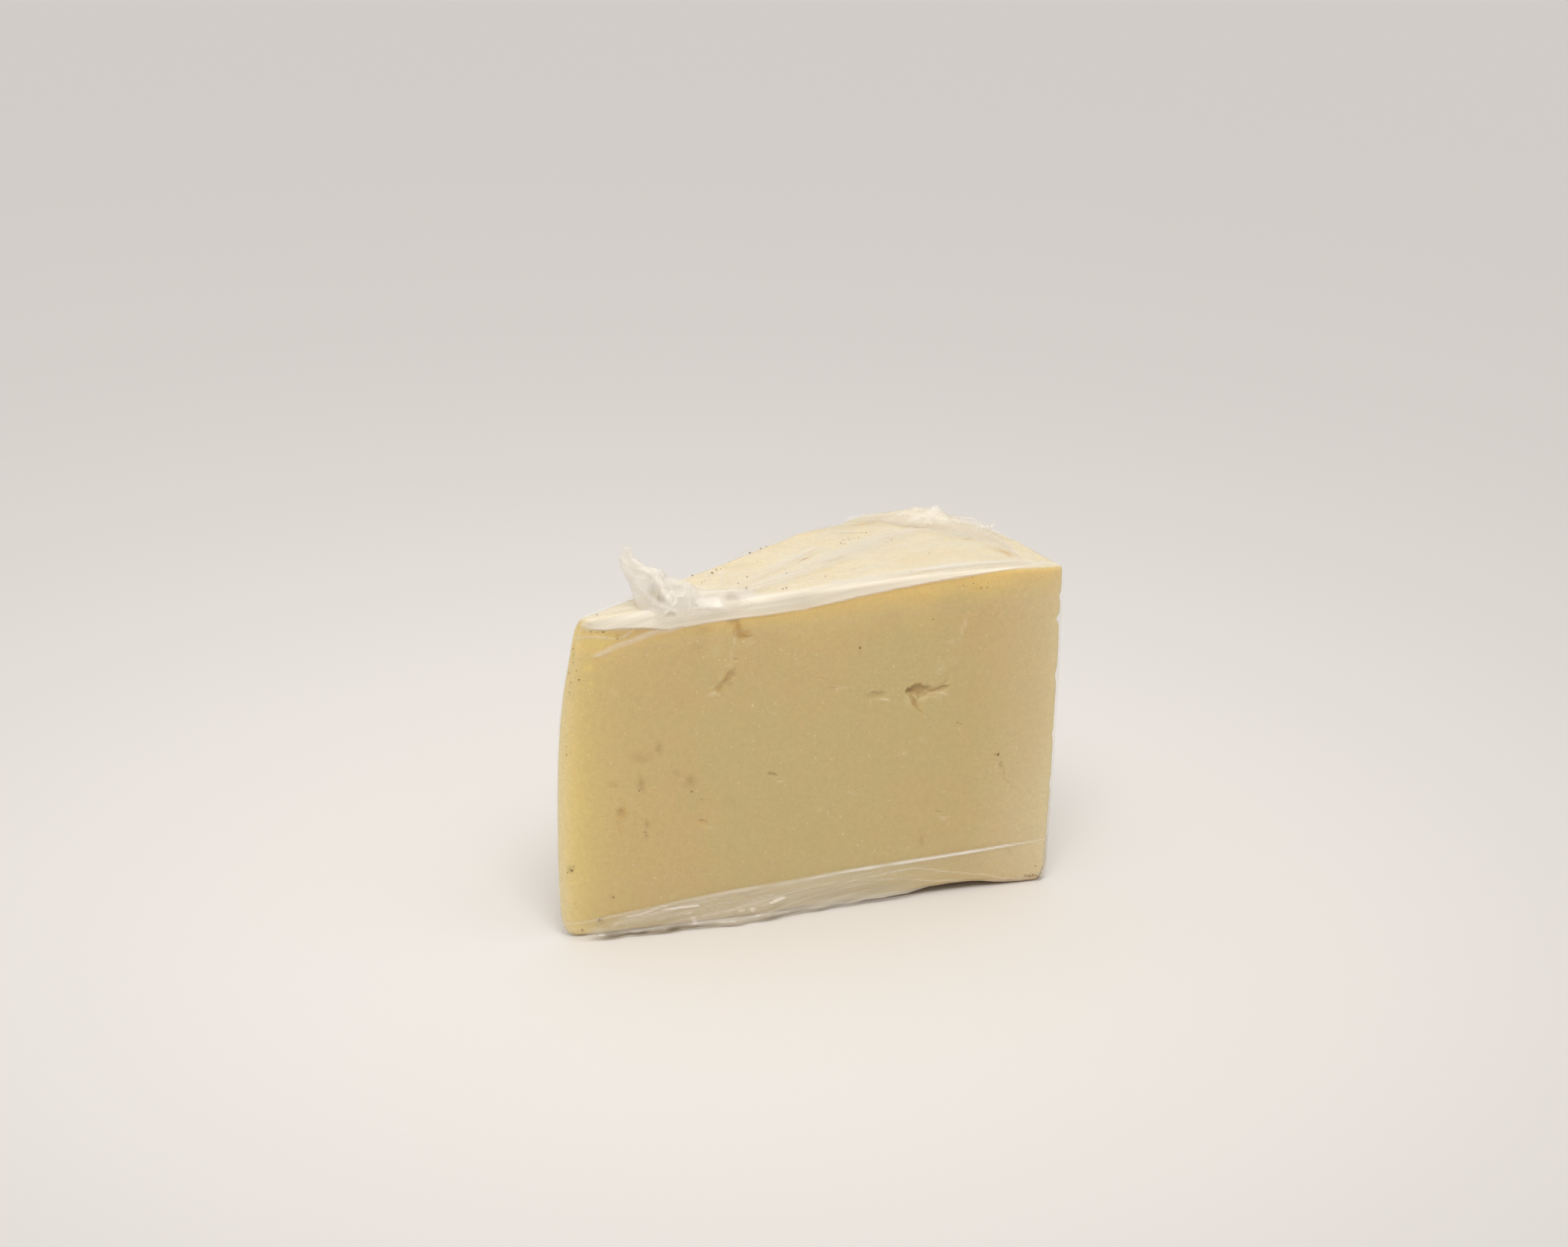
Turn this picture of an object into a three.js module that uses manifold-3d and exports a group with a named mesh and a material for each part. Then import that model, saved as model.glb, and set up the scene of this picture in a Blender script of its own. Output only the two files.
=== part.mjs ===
// A wedge of hard sheep's milk cheese, standing on its underside in clear cling film.
// Millimetres, +Z up. +X runs along the front cut face from the acute edge to the rim,
// the front cut face looks towards -Y, and the origin is at the middle of the base.
import * as THREE from 'three';
import { ConvexGeometry } from 'three/addons/geometries/ConvexGeometry.js';
import { mergeVertices } from 'three/addons/utils/BufferGeometryUtils.js';
import Module from 'manifold-3d';

const wasm = await Module();
wasm.setup();

// Driving dimensions of the wedge
const WEDGE_ANGLE = THREE.MathUtils.degToRad(32);
const TOP_HEIGHT = 94.4;
const TOP_FALL_AT_TIP = 4;
const TOP_FALL_LENGTH = 100;
const RIM_TOP_FALL = 0.8;
const RIM_TOP_FALL_FROM = 112;
const APEX_BEYOND_TIP = 4;
const TIP_BULGE = 3.3;
const TIP_BULGE_HEIGHT = 33;
const TIP_DRAW_IN_TOP = 4.2;
const TIP_DRAW_IN_BASE = 1.6;
const TIP_CORNER = 5;
const TIP_CORNER_FALL = 4;
const RIM_X = 140.7;
const RIM_LEAN = 2;
const FOOT_CORNER_RISE = 5.4;
const FOOT_CORNER_REACH = 2.8;
const FOOT_CORNER_DEPTH = 9;
const CUT_EDGE_ROUND = 1.6;
const BACK_CORNER_ROUND = 18;
const BASE_ARCH = 2.3;
const BASE_ARCH_FROM = 78;
const BASE_ARCH_TO = 136;
const BASE_ARCH_DEPTH = 26;

// Relief of the bare surfaces, cut inwards
const CUT_RELIEF = 0.3;
const TOP_RELIEF = 0.7;
const RIM_RELIEF = 0.9;
const RELIEF_WAVE = 19;

// Cling film
const FILM_GAP = 0.3;
const FILM_WALL = 0.5;
const FOLD_HEIGHT = 1.1;
const FOLD_HALF_WIDTH = 3.2;
const BAND_PROUD = 0.9;
const APRON_PROUD = 0.6;
const WAD_PROUD = 6.2;
const WAD_CENTRE = 35;
const WAD_HALF_LENGTH = 21;
const WAD_HEIGHT = 5;
const RIM_SLACK = 1.2;
const OPENING_DEPTH = 9;
const FRONT_OPENING = [3, 137.5];
const BACK_OPENING = [10, 118];

// Grids: cells along the radius, across the wedge and up
const CHEESE_GRID = [26, 7, 15];
const FILM_GRID = [30, 9, 16];

const { clamp, lerp, smoothstep } = THREE.MathUtils;
const random = seededRandom(20507);
const reliefWaves = makeWaves(6);

function seededRandom(seed) {
  let state = seed;
  return () => {
    state = (state * 16807) % 2147483647;
    return state / 2147483647;
  };
}

function makeWaves(count) {
  return Array.from({ length: count }, () => {
    const direction = new THREE.Vector3(random() - 0.5, random() - 0.5, random() - 0.5).normalize();
    return { direction, phase: random() * Math.PI * 2, scale: lerp(0.7, 1.6, random()) };
  });
}

// Smooth uneven field between 0 and 1
function unevenness(point) {
  let sum = 0;
  for (const wave of reliefWaves) {
    sum += Math.sin((point.dot(wave.direction) * wave.scale * Math.PI * 2) / RELIEF_WAVE + wave.phase);
  }
  return clamp(0.5 + sum / (reliefWaves.length * 1.2), 0, 1);
}

// Outline of the wedge
function tipX(z) {
  const above = z > TIP_BULGE_HEIGHT;
  const span = above ? TOP_HEIGHT - TIP_BULGE_HEIGHT - TIP_CORNER : TIP_BULGE_HEIGHT;
  const drawIn = above ? TIP_DRAW_IN_TOP : TIP_DRAW_IN_BASE;
  return -TIP_BULGE + drawIn * Math.pow(Math.min(Math.abs(z - TIP_BULGE_HEIGHT) / span, 1.1), 3);
}

function rimX(z) {
  return RIM_X - RIM_LEAN * Math.pow(1 - clamp(z / TOP_HEIGHT, 0, 1), 2);
}

function topZ(x) {
  const fall = TOP_FALL_AT_TIP * Math.max(0, 1 - x / TOP_FALL_LENGTH);
  const nearRim = Math.max(0, (x - RIM_TOP_FALL_FROM) / (RIM_X - RIM_TOP_FALL_FROM));
  const nearTip = clamp(1 - x / TIP_CORNER, 0, 1.1);
  return TOP_HEIGHT - fall - RIM_TOP_FALL * nearRim ** 2 - TIP_CORNER_FALL * nearTip ** 2;
}

function baseZ(x, y) {
  const along = clamp((x - BASE_ARCH_FROM) / (BASE_ARCH_TO - BASE_ARCH_FROM), 0, 1);
  const inward = 1 - smoothstep(y, 4, BASE_ARCH_DEPTH);
  return BASE_ARCH * Math.pow(Math.sin(along * Math.PI), 2) * inward;
}

// Grid line i of n, with its first and last cell as wide as the edge's rounding
function gridLine(i, n, inset) {
  const cell = Math.min(inset, 1 / n);
  if (i === 0) return 0;
  if (i === n) return 1;
  return cell + ((1 - 2 * cell) * (i - 1)) / (n - 2);
}

// A point of the wedge's surface, grown outwards evenly, with its outward direction.
// The wedge is laid out by radius from the apex, width across and height.
function wedgePoint(cell, grid, grow, dropBase) {
  const round = CUT_EDGE_ROUND + grow;
  const up = gridLine(cell[2], grid[2], round / TOP_HEIGHT);
  const nominalZ = up * TOP_HEIGHT;
  const apexX = tipX(nominalZ) - APEX_BEYOND_TIP - grow / Math.tan(WEDGE_ANGLE / 2);
  const apexY = -grow;
  const rNear = tipX(nominalZ) - grow - apexX;
  const rFar = rimX(nominalZ) + grow - apexX;
  const along = gridLine(cell[0], grid[0], round / (rFar - rNear));
  const r = lerp(rNear, rFar, along);
  const halfWidth = (r * WEDGE_ANGLE) / 2;
  const across = gridLine(cell[1], grid[1], round / (2 * halfWidth));
  const w = lerp(-halfWidth, halfWidth, across);

  const angle = WEDGE_ANGLE / 2 + w / r;
  const x = apexX + r * Math.cos(angle);
  const y = apexY + r * Math.sin(angle);
  const low = dropBase > 0 ? -dropBase : baseZ(x, y);
  const high = topZ(x) + grow;
  const z = lerp(low, high, up);

  // Round the edges
  const roundWidth = Math.min(round, halfWidth * 0.9);
  const core = [
    clamp(r, rNear + round, rFar - round),
    clamp(w, -halfWidth + roundWidth, halfWidth - roundWidth),
    clamp(z, low + round, high - round),
  ];
  const lean = [(r - core[0]) / round, (w - core[1]) / roundWidth, (z - core[2]) / round];
  const size = Math.hypot(...lean);
  const reach = Math.max(...lean.map(Math.abs)) / size;
  let roundedR = core[0] + (r - core[0]) * reach;
  let roundedW = core[1] + (w - core[1]) * reach;
  const roundedZ = core[2] + (z - core[2]) * reach;

  // Ease the corner between the back cut and the rim
  const cornerR = roundedR - (rFar - BACK_CORNER_ROUND);
  const cornerW = roundedW - (halfWidth - BACK_CORNER_ROUND);
  if (cornerR > 0 && cornerW > 0) {
    const squash = Math.max(cornerR, cornerW) / Math.hypot(cornerR, cornerW);
    roundedR += cornerR * (squash - 1);
    roundedW += cornerW * (squash - 1);
    if (Math.abs(lean[2]) < 1) {
      lean[0] = cornerR / BACK_CORNER_ROUND;
      lean[1] = cornerW / BACK_CORNER_ROUND;
    }
  }

  const turn = WEDGE_ANGLE / 2 + roundedW / roundedR;
  const point = new THREE.Vector3(
    apexX + roundedR * Math.cos(turn),
    apexY + roundedR * Math.sin(turn),
    roundedZ,
  );
  const outward = new THREE.Vector3(
    lean[0] * Math.cos(turn) - lean[1] * Math.sin(turn),
    lean[0] * Math.sin(turn) + lean[1] * Math.cos(turn),
    lean[2],
  ).normalize();
  return { point, outward };
}

// A box grid wrapped onto the wedge, with a height field along the outward direction
function wedgeGeometry(grid, grow, heightField, dropBase = 0) {
  const geometry = new THREE.BoxGeometry(1, 1, 1, ...grid);
  const place = geometry.attributes.position;
  for (let i = 0; i < place.count; i += 1) {
    const cell = [place.getX(i), place.getY(i), place.getZ(i)]
      .map((value, axis) => Math.round((value + 0.5) * grid[axis]));
    const { point, outward } = wedgePoint(cell, grid, grow, dropBase);
    const push = outward.clone().setZ(Math.max(0, outward.z));
    point.addScaledVector(push, heightField(point, outward));
    place.setXYZ(i, point.x, point.y, point.z);
  }
  return geometry;
}

// Booleans
function toManifold(geometry) {
  const bare = geometry.clone();
  bare.deleteAttribute('normal');
  bare.deleteAttribute('uv');
  const merged = mergeVertices(bare, 1e-3);
  return new wasm.Manifold(new wasm.Mesh({
    numProp: 3,
    vertProperties: new Float32Array(merged.attributes.position.array),
    triVerts: new Uint32Array(merged.index.array),
  }));
}

function toGeometry(solid) {
  const mesh = solid.getMesh();
  const geometry = new THREE.BufferGeometry();
  geometry.setAttribute('position', new THREE.BufferAttribute(new Float32Array(mesh.vertProperties), 3));
  geometry.setIndex(new THREE.BufferAttribute(new Uint32Array(mesh.triVerts), 1));
  geometry.computeVertexNormals();
  return geometry;
}

// Relief of the bare cheese: low waves on the cuts, rougher on the top rind and the rim
function cheeseRelief(point, outward) {
  const facing = outward.z < -0.5 ? 0 : 1;
  const top = Math.max(0, outward.z);
  const rim = smoothstep(outward.x, 0.5, 0.9) * smoothstep(point.x, 60, 110);
  const depth = CUT_RELIEF + (TOP_RELIEF - CUT_RELIEF) * top + (RIM_RELIEF - CUT_RELIEF) * rim;
  return -facing * depth * unevenness(point);
}

// An elongated blunt cutter on the front cut, between two places given as x and z
function cleftCutter(from, to, width, depth) {
  const cutter = new THREE.IcosahedronGeometry(1, 1);
  const length = Math.hypot(to[0] - from[0], to[1] - from[1]);
  cutter.scale(length / 2 + width / 2, depth, width / 2);
  cutter.rotateY(-Math.atan2(to[1] - from[1], to[0] - from[0]));
  cutter.translate((from[0] + to[0]) / 2, 0, (from[1] + to[1]) / 2);
  return cutter;
}

// Swing a piece made on the front cut round onto the back cut, which bulges with height
function swingToBack(piece, z) {
  piece.rotateZ(WEDGE_ANGLE);
  piece.translate(tipX(z) - APEX_BEYOND_TIP, 0, 0);
  return piece;
}

// Cracks and eyes of the front cut: each row is a run of places, then its width and depth
const frontClefts = [
  { run: [[42, 91.5], [45.2, 84.5]], width: 4.2, depth: 2.2 },
  { run: [[44.8, 84.2], [50, 81.6]], width: 2.6, depth: 1.9 },
  { run: [[44.6, 84], [44.6, 79.5]], width: 1.2, depth: 1 },
  { run: [[44.8, 73.5], [43, 70.2], [40.6, 66.2]], width: 2.2, depth: 2 },
  { run: [[43, 76], [48, 74.8]], width: 1, depth: 0.9 },
  { run: [[83.5, 61.4], [91, 61.6]], width: 2.4, depth: 1.8 },
  { run: [[96.6, 61.8], [101.4, 61]], width: 4.6, depth: 4.6 },
  { run: [[100.5, 60.8], [107.6, 60.4]], width: 3, depth: 2.8 },
  { run: [[97.4, 60.5], [98.8, 56.4], [101.2, 53]], width: 2.2, depth: 2.4 },
  { run: [[106, 61], [108.5, 66]], width: 1.4, depth: 0.8 },
  { run: [[55, 41.3], [59.5, 40]], width: 1.7, depth: 1.5 },
  { run: [[122.6, 40.6], [124.2, 36.2], [125.4, 32]], width: 1.3, depth: 1.4 },
  { run: [[125.6, 32], [131, 27.5]], width: 0.8, depth: 0.7 },
  { run: [[35.2, 30.4], [38.4, 27.6]], width: 1.7, depth: 1.3 },
  { run: [[13.6, 36], [12.8, 30]], width: 2.8, depth: 0.9 },
  { run: [[104.3, 25], [107.2, 23.8]], width: 1.3, depth: 1 },
];

// Cracks and eyes of the back cut, in distance from the apex and height
const backClefts = [
  { run: [[30, 62], [33, 57], [38, 54]], width: 1.8, depth: 2.2 },
  { run: [[52, 78], [60, 76.5]], width: 2, depth: 2 },
  { run: [[74, 47], [80, 44.5], [86, 45.5]], width: 3.6, depth: 3.4 },
  { run: [[80, 44.5], [82.5, 38]], width: 1.5, depth: 1.8 },
  { run: [[62, 24], [66, 22.5]], width: 1.6, depth: 1.4 },
  { run: [[101, 69], [104, 63], [103, 58]], width: 1.4, depth: 1.6 },
  { run: [[44, 33], [46.5, 30]], width: 1.8, depth: 1.2 },
];

// Chips out of the edge between the front cut and the rim: height, reach and size
const rimChips = [
  { z: 85, reach: 1.5, size: 1.5 },
  { z: 78.2, reach: 1.9, size: 1.6 },
  { z: 61.5, reach: 1, size: 2.4 },
  { z: 44, reach: 0.8, size: 1.8 },
];

function cutClefts(solid, clefts, place) {
  let cut = solid;
  for (const { run, width, depth } of clefts) {
    for (let i = 1; i < run.length; i += 1) {
      const cutter = place(cleftCutter(run[i - 1], run[i], width, depth), run[i][1]);
      cut = cut.subtract(toManifold(cutter));
    }
  }
  return cut;
}

function rimChip({ z, reach, size }) {
  const chip = new THREE.IcosahedronGeometry(1, 1);
  chip.scale(reach, 3, size);
  chip.translate(rimX(z), 0, z);
  return chip;
}

// The worn corner where the front cut, the rim and the underside meet: a slanting plane cuts
// it, and the rest of the cutter lies outside the wedge
function footCorner() {
  const corner = new THREE.Vector3(rimX(0), 0, 0);
  const ends = [
    new THREE.Vector3(-FOOT_CORNER_REACH, 0, 0),
    new THREE.Vector3(0, FOOT_CORNER_DEPTH, 0),
    new THREE.Vector3(0, 0, FOOT_CORNER_RISE),
  ].map((end) => end.add(corner));
  const middle = new THREE.Vector3().add(ends[0]).add(ends[1]).add(ends[2]).divideScalar(3);
  const plane = ends.map((end) => end.sub(middle).multiplyScalar(2).add(middle));
  const outside = new THREE.Vector3(8, -8, -8).add(corner);
  return new ConvexGeometry([...plane, outside]);
}

function makeCheese() {
  let solid = toManifold(wedgeGeometry(CHEESE_GRID, 0, cheeseRelief));
  solid = cutClefts(solid, frontClefts, (cutter) => cutter);
  solid = cutClefts(solid, backClefts, swingToBack);
  for (const chip of rimChips) {
    solid = solid.subtract(toManifold(rimChip(chip)));
  }
  return solid.subtract(toManifold(footCorner()));
}

// Lower edge of the film's rolled band on the front, and top edge of its bottom apron
function bandLow(x) {
  return topZ(x) - 8 * Math.max(0, 1 - Math.max(0, x - 20) / 95);
}

function apronHigh(x) {
  return 4.6 + 6 * Math.pow(clamp(x / 100, 0, 1), 0.9) + 2 * clamp((x - 100) / 40, 0, 1);
}

// Creases that fan over the top from the gathered knot near the acute edge
const KNOT = new THREE.Vector2(44, 4);
const creaseEnds = [[80, 36], [112, 43], [127, 33], [131, 12]];

function creaseHeight(x, y) {
  let height = 0;
  for (const [endX, endY] of creaseEnds) {
    const run = new THREE.Vector2(endX, endY).sub(KNOT);
    const place = new THREE.Vector2(x, y).sub(KNOT);
    const share = clamp(place.dot(run) / run.lengthSq(), 0, 1);
    const distance = place.distanceTo(run.multiplyScalar(share));
    height = Math.max(height, 1 - distance / FOLD_HALF_WIDTH);
  }
  return FOLD_HEIGHT * height;
}

function filmRelief(point, outward) {
  const { x, y, z } = point;
  const top = smoothstep(outward.z, 0.5, 0.9);
  const front = smoothstep(-outward.y, 0.5, 0.9);
  const rim = smoothstep(outward.x, 0.5, 0.9) * smoothstep(x, 60, 110);
  const side = 1 - Math.abs(outward.z);
  const wad = WAD_PROUD
    * Math.exp(-Math.pow((x - WAD_CENTRE) / WAD_HALF_LENGTH, 2))
    * Math.exp(-Math.pow(z / WAD_HEIGHT, 2));
  let height = top * creaseHeight(x, y);
  height = Math.max(height, front * BAND_PROUD * smoothstep(z, bandLow(x) - 1, bandLow(x) + 1));
  height = Math.max(height, side * APRON_PROUD * smoothstep(-z, -apronHigh(x) - 1, 1 - apronHigh(x)));
  return height + front * wad + rim * RIM_SLACK * unevenness(point);
}

// A gathered horn of film: pleated level sections that shrink along a rising path
function gatheredHorn(path, widths, flatness, pleats) {
  const curve = new THREE.CatmullRomCurve3(path.map((place) => new THREE.Vector3(...place)));
  const around = 3 * pleats;
  const steps = 7;
  const geometry = new THREE.CylinderGeometry(1, 1, 1, around, steps);
  geometry.rotateX(Math.PI / 2);
  const place = geometry.attributes.position;
  for (let i = 0; i < place.count; i += 1) {
    const share = clamp(place.getZ(i) + 0.5, 0, 1);
    const turn = Math.atan2(place.getY(i), place.getX(i));
    const section = (widths.length - 1) * share;
    const from = Math.min(Math.floor(section), widths.length - 2);
    const width = lerp(widths[from], widths[from + 1], section - from);
    const pleat = 1 + 0.18 * Math.cos(pleats * turn + 4 * share);
    const reach = Math.hypot(place.getX(i), place.getY(i)) * width * pleat;
    const centre = curve.getPoint(share);
    centre.x += reach * Math.cos(turn);
    centre.y += reach * flatness * Math.sin(turn);
    place.setXYZ(i, centre.x, centre.y, centre.z);
  }
  return geometry;
}

// A crumpled lump of film
function crumple(centre, size, roughness) {
  const lump = new THREE.IcosahedronGeometry(1, 2);
  const place = lump.attributes.position;
  for (let i = 0; i < place.count; i += 1) {
    const point = new THREE.Vector3().fromBufferAttribute(place, i);
    const ripple = Math.sin(7 * point.x + 4 * point.y) * Math.cos(6 * point.z - 5 * point.y);
    point.multiplyScalar(1 + roughness * ripple);
    place.setXYZ(i, ...point.toArray());
  }
  lump.scale(...size);
  lump.translate(...centre);
  return lump;
}

// Gathers that stand on the film: the knot by the acute edge and the crumple by the back corner
function filmGathers() {
  return [
    gatheredHorn([[33, 3.5, 89], [27, 3.5, 96], [20.5, 4, 101], [17, 4, 108.3]], [10, 8, 4.2, 0.5], 0.42, 4),
    crumple([30, 4, 91.5], [6.5, 4.4, 5.6], 0.14),
    crumple([41, 5, 90.8], [10, 4.4, 3.2], 0.14),
    crumple([114, 49, 93], [8.5, 5, 5.4], 0.16),
    crumple([104, 56, 93], [8, 4, 2.8], 0.12),
    crumple([123, 44, 93], [8.5, 4.5, 2.8], 0.14),
    gatheredHorn([[131, 40, 92], [133, 39.5, 94.5], [136.5, 39, 97]], [2.4, 1.4, 0.4], 0.6, 3),
  ];
}

// Where the film lies flat on a cut it is too thin to model, so the cut is left open there,
// between the lower edge of the band and the upper edge of the apron
function openCut(fromX, toX) {
  const outline = new THREE.Shape();
  const steps = 12;
  const places = Array.from({ length: steps + 1 }, (_, i) => lerp(fromX, toX, i / steps));
  outline.moveTo(fromX, apronHigh(fromX));
  places.slice(1).forEach((x) => outline.lineTo(x, apronHigh(x)));
  places.reverse().forEach((x) => outline.lineTo(x, bandLow(x)));
  const opening = new THREE.ExtrudeGeometry(outline, { depth: OPENING_DEPTH, bevelEnabled: false });
  opening.rotateX(Math.PI / 2);
  return opening;
}

function makeFilm() {
  let solid = toManifold(wedgeGeometry(FILM_GRID, FILM_GAP + FILM_WALL, filmRelief));
  for (const gather of filmGathers()) {
    solid = solid.add(toManifold(gather));
  }
  solid = solid.subtract(toManifold(wedgeGeometry(CHEESE_GRID, FILM_GAP, () => 0, OPENING_DEPTH)));
  solid = solid.subtract(toManifold(openCut(...FRONT_OPENING)));
  const backOpening = openCut(...BACK_OPENING);
  backOpening.translate(0, OPENING_DEPTH - 1, 0);
  return solid.subtract(toManifold(swingToBack(backOpening, TOP_HEIGHT)));
}

const cheeseMaterial = new THREE.MeshStandardMaterial({ color: 0xcbb784, roughness: 0.6, metalness: 0 });
const filmMaterial = new THREE.MeshStandardMaterial({
  color: 0xece6da, roughness: 0.2, metalness: 0, transparent: true, opacity: 0.3,
});

const cheese = new THREE.Mesh(toGeometry(makeCheese()), cheeseMaterial);
cheese.name = 'cheese';
const film = new THREE.Mesh(toGeometry(makeFilm()), filmMaterial);
film.name = 'cling_film';

// Stand the piece with the middle of its base at the origin
const wrapped = new THREE.Group();
wrapped.add(cheese, film);
const box = new THREE.Box3().setFromObject(wrapped);
const middle = box.getCenter(new THREE.Vector3());
wrapped.position.set(-middle.x, -middle.y, -box.min.z);

const group = new THREE.Group();
group.add(wrapped);
export default group;
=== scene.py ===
# Looks of a wedge of hard sheep's milk cheese in clear cling film. Shapes are worked out in
# millimetres on the wedge: +X runs along the front cut from the acute edge to the rim, the front
# cut looks towards -Y and +Z is up. They are placed in metres.
import math

import bmesh
import bpy
import numpy as np
from mathutils import Matrix, Vector


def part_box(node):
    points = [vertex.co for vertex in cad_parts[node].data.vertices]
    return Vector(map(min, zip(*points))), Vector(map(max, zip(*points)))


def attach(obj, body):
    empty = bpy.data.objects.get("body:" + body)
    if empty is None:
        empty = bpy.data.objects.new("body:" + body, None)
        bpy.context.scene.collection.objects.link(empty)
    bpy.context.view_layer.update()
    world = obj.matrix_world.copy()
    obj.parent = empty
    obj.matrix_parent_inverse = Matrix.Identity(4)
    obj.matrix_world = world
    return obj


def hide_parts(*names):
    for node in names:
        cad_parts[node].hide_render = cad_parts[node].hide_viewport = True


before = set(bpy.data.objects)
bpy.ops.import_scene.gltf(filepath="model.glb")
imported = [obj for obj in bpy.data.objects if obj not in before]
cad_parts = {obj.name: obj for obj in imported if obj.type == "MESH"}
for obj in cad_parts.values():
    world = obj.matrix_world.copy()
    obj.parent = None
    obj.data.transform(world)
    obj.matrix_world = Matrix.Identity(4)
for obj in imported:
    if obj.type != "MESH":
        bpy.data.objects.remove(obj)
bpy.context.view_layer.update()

# Driving dimensions of the wedge, in millimetres
MM = 0.001
WEDGE_ANGLE = math.radians(32)
TOP_HEIGHT = 94.4
TOP_FALL_AT_TIP = 4.0
TOP_FALL_LENGTH = 100.0
RIM_TOP_FALL = 0.8
RIM_TOP_FALL_FROM = 112.0
APEX_BEYOND_TIP = 4.0
TIP_BULGE = 3.3
TIP_BULGE_HEIGHT = 33.0
TIP_DRAW_IN_TOP = 4.2
TIP_DRAW_IN_BASE = 1.6
TIP_FOOT_HEIGHT = 7.0
TIP_FOOT_DRAW_IN = 1.8
TIP_CORNER = 5.0
TIP_CORNER_FALL = 4.0
RIM_X = 140.7
RIM_LEAN = 2.0
CUT_EDGE_ROUND = 1.6
TIP_EDGE_REACH = 6.0
TIP_EDGE_EASE = 0.9
BACK_CORNER_ROUND = 18.0
# The underside is lifted along the front cut: where, how far, and how far inwards it ends
BASE_LIFT_X = [56, 66, 77, 88, 96, 103, 109.5, 116, 119, 123, 126, 131, 137]
BASE_LIFT_Z = [0, 0.6, 0.8, 0.9, 1.1, 1.9, 2.1, 2.0, 1.7, 1.0, 0.6, 0.2, 0]
BASE_LIFT_ACROSS = (8.0, 26.0)
# The top is worn down by the back cut: how far, and over which distances from the wheel's axis
# and from that cut
BACK_TOP_WEAR = 1.8
BACK_WEAR_ALONG = (98, 118)
BACK_WEAR_ACROSS = (1, 13)
# Where along the cut the rim is reckoned from
RIM_FROM_X = (60, 100)
# The foot corner of the front cut and the rim is worn off along a slanting plane
FOOT_CORNER_RISE = 5.4
FOOT_CORNER_REACH = 2.8
FOOT_CORNER_DEPTH = 9.0
FOOT_CORNER_ROUGHNESS = 0.12
FLOOR_CLEARANCE = 0.12

# Cling film: its gaps from the cheese and the floor, and how far its apron and cap reach
FILM_GAP = 0.25
FILM_TOP_GAP = 0.24
APRON_GAP = FILM_GAP + 0.15
FILM_CLEARANCE = 0.05
BASE_CLEARANCE = 0.06
APRON_RISE = 17.0
CAP_DROP = 12.0

# The wedge's own origin, at the foot of the front cut by the acute edge, in the shared frame
cheese_low = np.array(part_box("cheese")[0]) / MM
WEDGE_ORIGIN = np.array([
    cheese_low[0] + TIP_BULGE + APEX_BEYOND_TIP * (1 - math.cos(WEDGE_ANGLE / 2)),
    cheese_low[1],
    0.0,
])


# Numbers and fields
def smoothstep(value, low, high):
    share = np.clip((value - low) / (high - low), 0, 1)
    return share * share * (3 - 2 * share)


def bump(distance, reach):
    """1 at no distance, fading smoothly to 0 at the reach."""
    return 1 - smoothstep(distance, 0, reach)


def fall(value, low, high):
    """1 up to the low value, falling smoothly to 0 at the high one."""
    return 1 - smoothstep(value, low, high)


def window(value, rise_from, rise_to, fall_from, fall_to):
    """0, then smoothly up to 1, and back to 0."""
    return smoothstep(value, rise_from, rise_to) * fall(value, fall_from, fall_to)


def fade(distance, reach):
    """1 up to no distance, then fading more and more slowly."""
    return np.exp(-np.maximum(distance, 0) / reach)


def zigzag(value):
    """A running value folded to and fro between 0 and 1."""
    return np.abs(value % 1.0 - 0.5) * 2


def oval(places, x, y, half_x, half_y):
    """Distance of each place from an oval's middle, as a share of its half sizes."""
    return np.hypot((places[:, 0] - x) / half_x, (places[:, 1] - y) / half_y)


def unit(vectors, least=1e-9):
    return vectors / np.maximum(np.linalg.norm(vectors, axis=1, keepdims=True), least)


# Whole numbers that scatter the cells' values
CELL_FACTORS = (374761393, 668265263, 1103515245)
SEED_FACTOR = 974711
MIX_FACTOR = 1274126177
MIX_BITS = 0x7FFFFFFF
VALUE_BITS = 0xFFFF


def cell_value(cell, seed):
    """A fixed random number between 0 and 1 for each whole-numbered cell."""
    mixed = cell @ np.array(CELL_FACTORS) + seed * SEED_FACTOR
    mixed = (mixed ^ (mixed >> 13)) & MIX_BITS
    mixed = (mixed * MIX_FACTOR) & MIX_BITS
    mixed = (mixed ^ (mixed >> 16)) & VALUE_BITS
    return mixed / float(VALUE_BITS)


def noise(points, size, seed=0):
    """Smooth noise between -1 and 1 with blobs about `size` millimetres across."""
    place = np.asarray(points, dtype=float) / size
    cell = np.floor(place).astype(np.int64)
    part = place - cell
    part = part * part * (3 - 2 * part)
    total = np.zeros(len(place))
    for corner in np.ndindex(2, 2, 2):
        corner = np.array(corner)
        weight = np.prod(np.where(corner == 1, part, 1 - part), axis=1)
        total += weight * cell_value(cell + corner, seed)
    return total * 2 - 1


def rough_noise(points, size, seed=0, octaves=3):
    """Noise with finer and weaker noise laid over it."""
    total = np.zeros(len(points))
    for octave in range(octaves):
        total += noise(points, size / 2 ** octave, seed + 17 * octave) / 2 ** octave
    return total / 1.6


def on_sheet(places):
    """Places of a flat sheet as points in space."""
    return np.column_stack([places, np.zeros(len(places))])


def wander(places, size, seed):
    """Uneven shifts for places of a flat sheet."""
    points = on_sheet(places)
    return np.column_stack([noise(points, size, seed), noise(points, size, seed + 1)])


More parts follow.
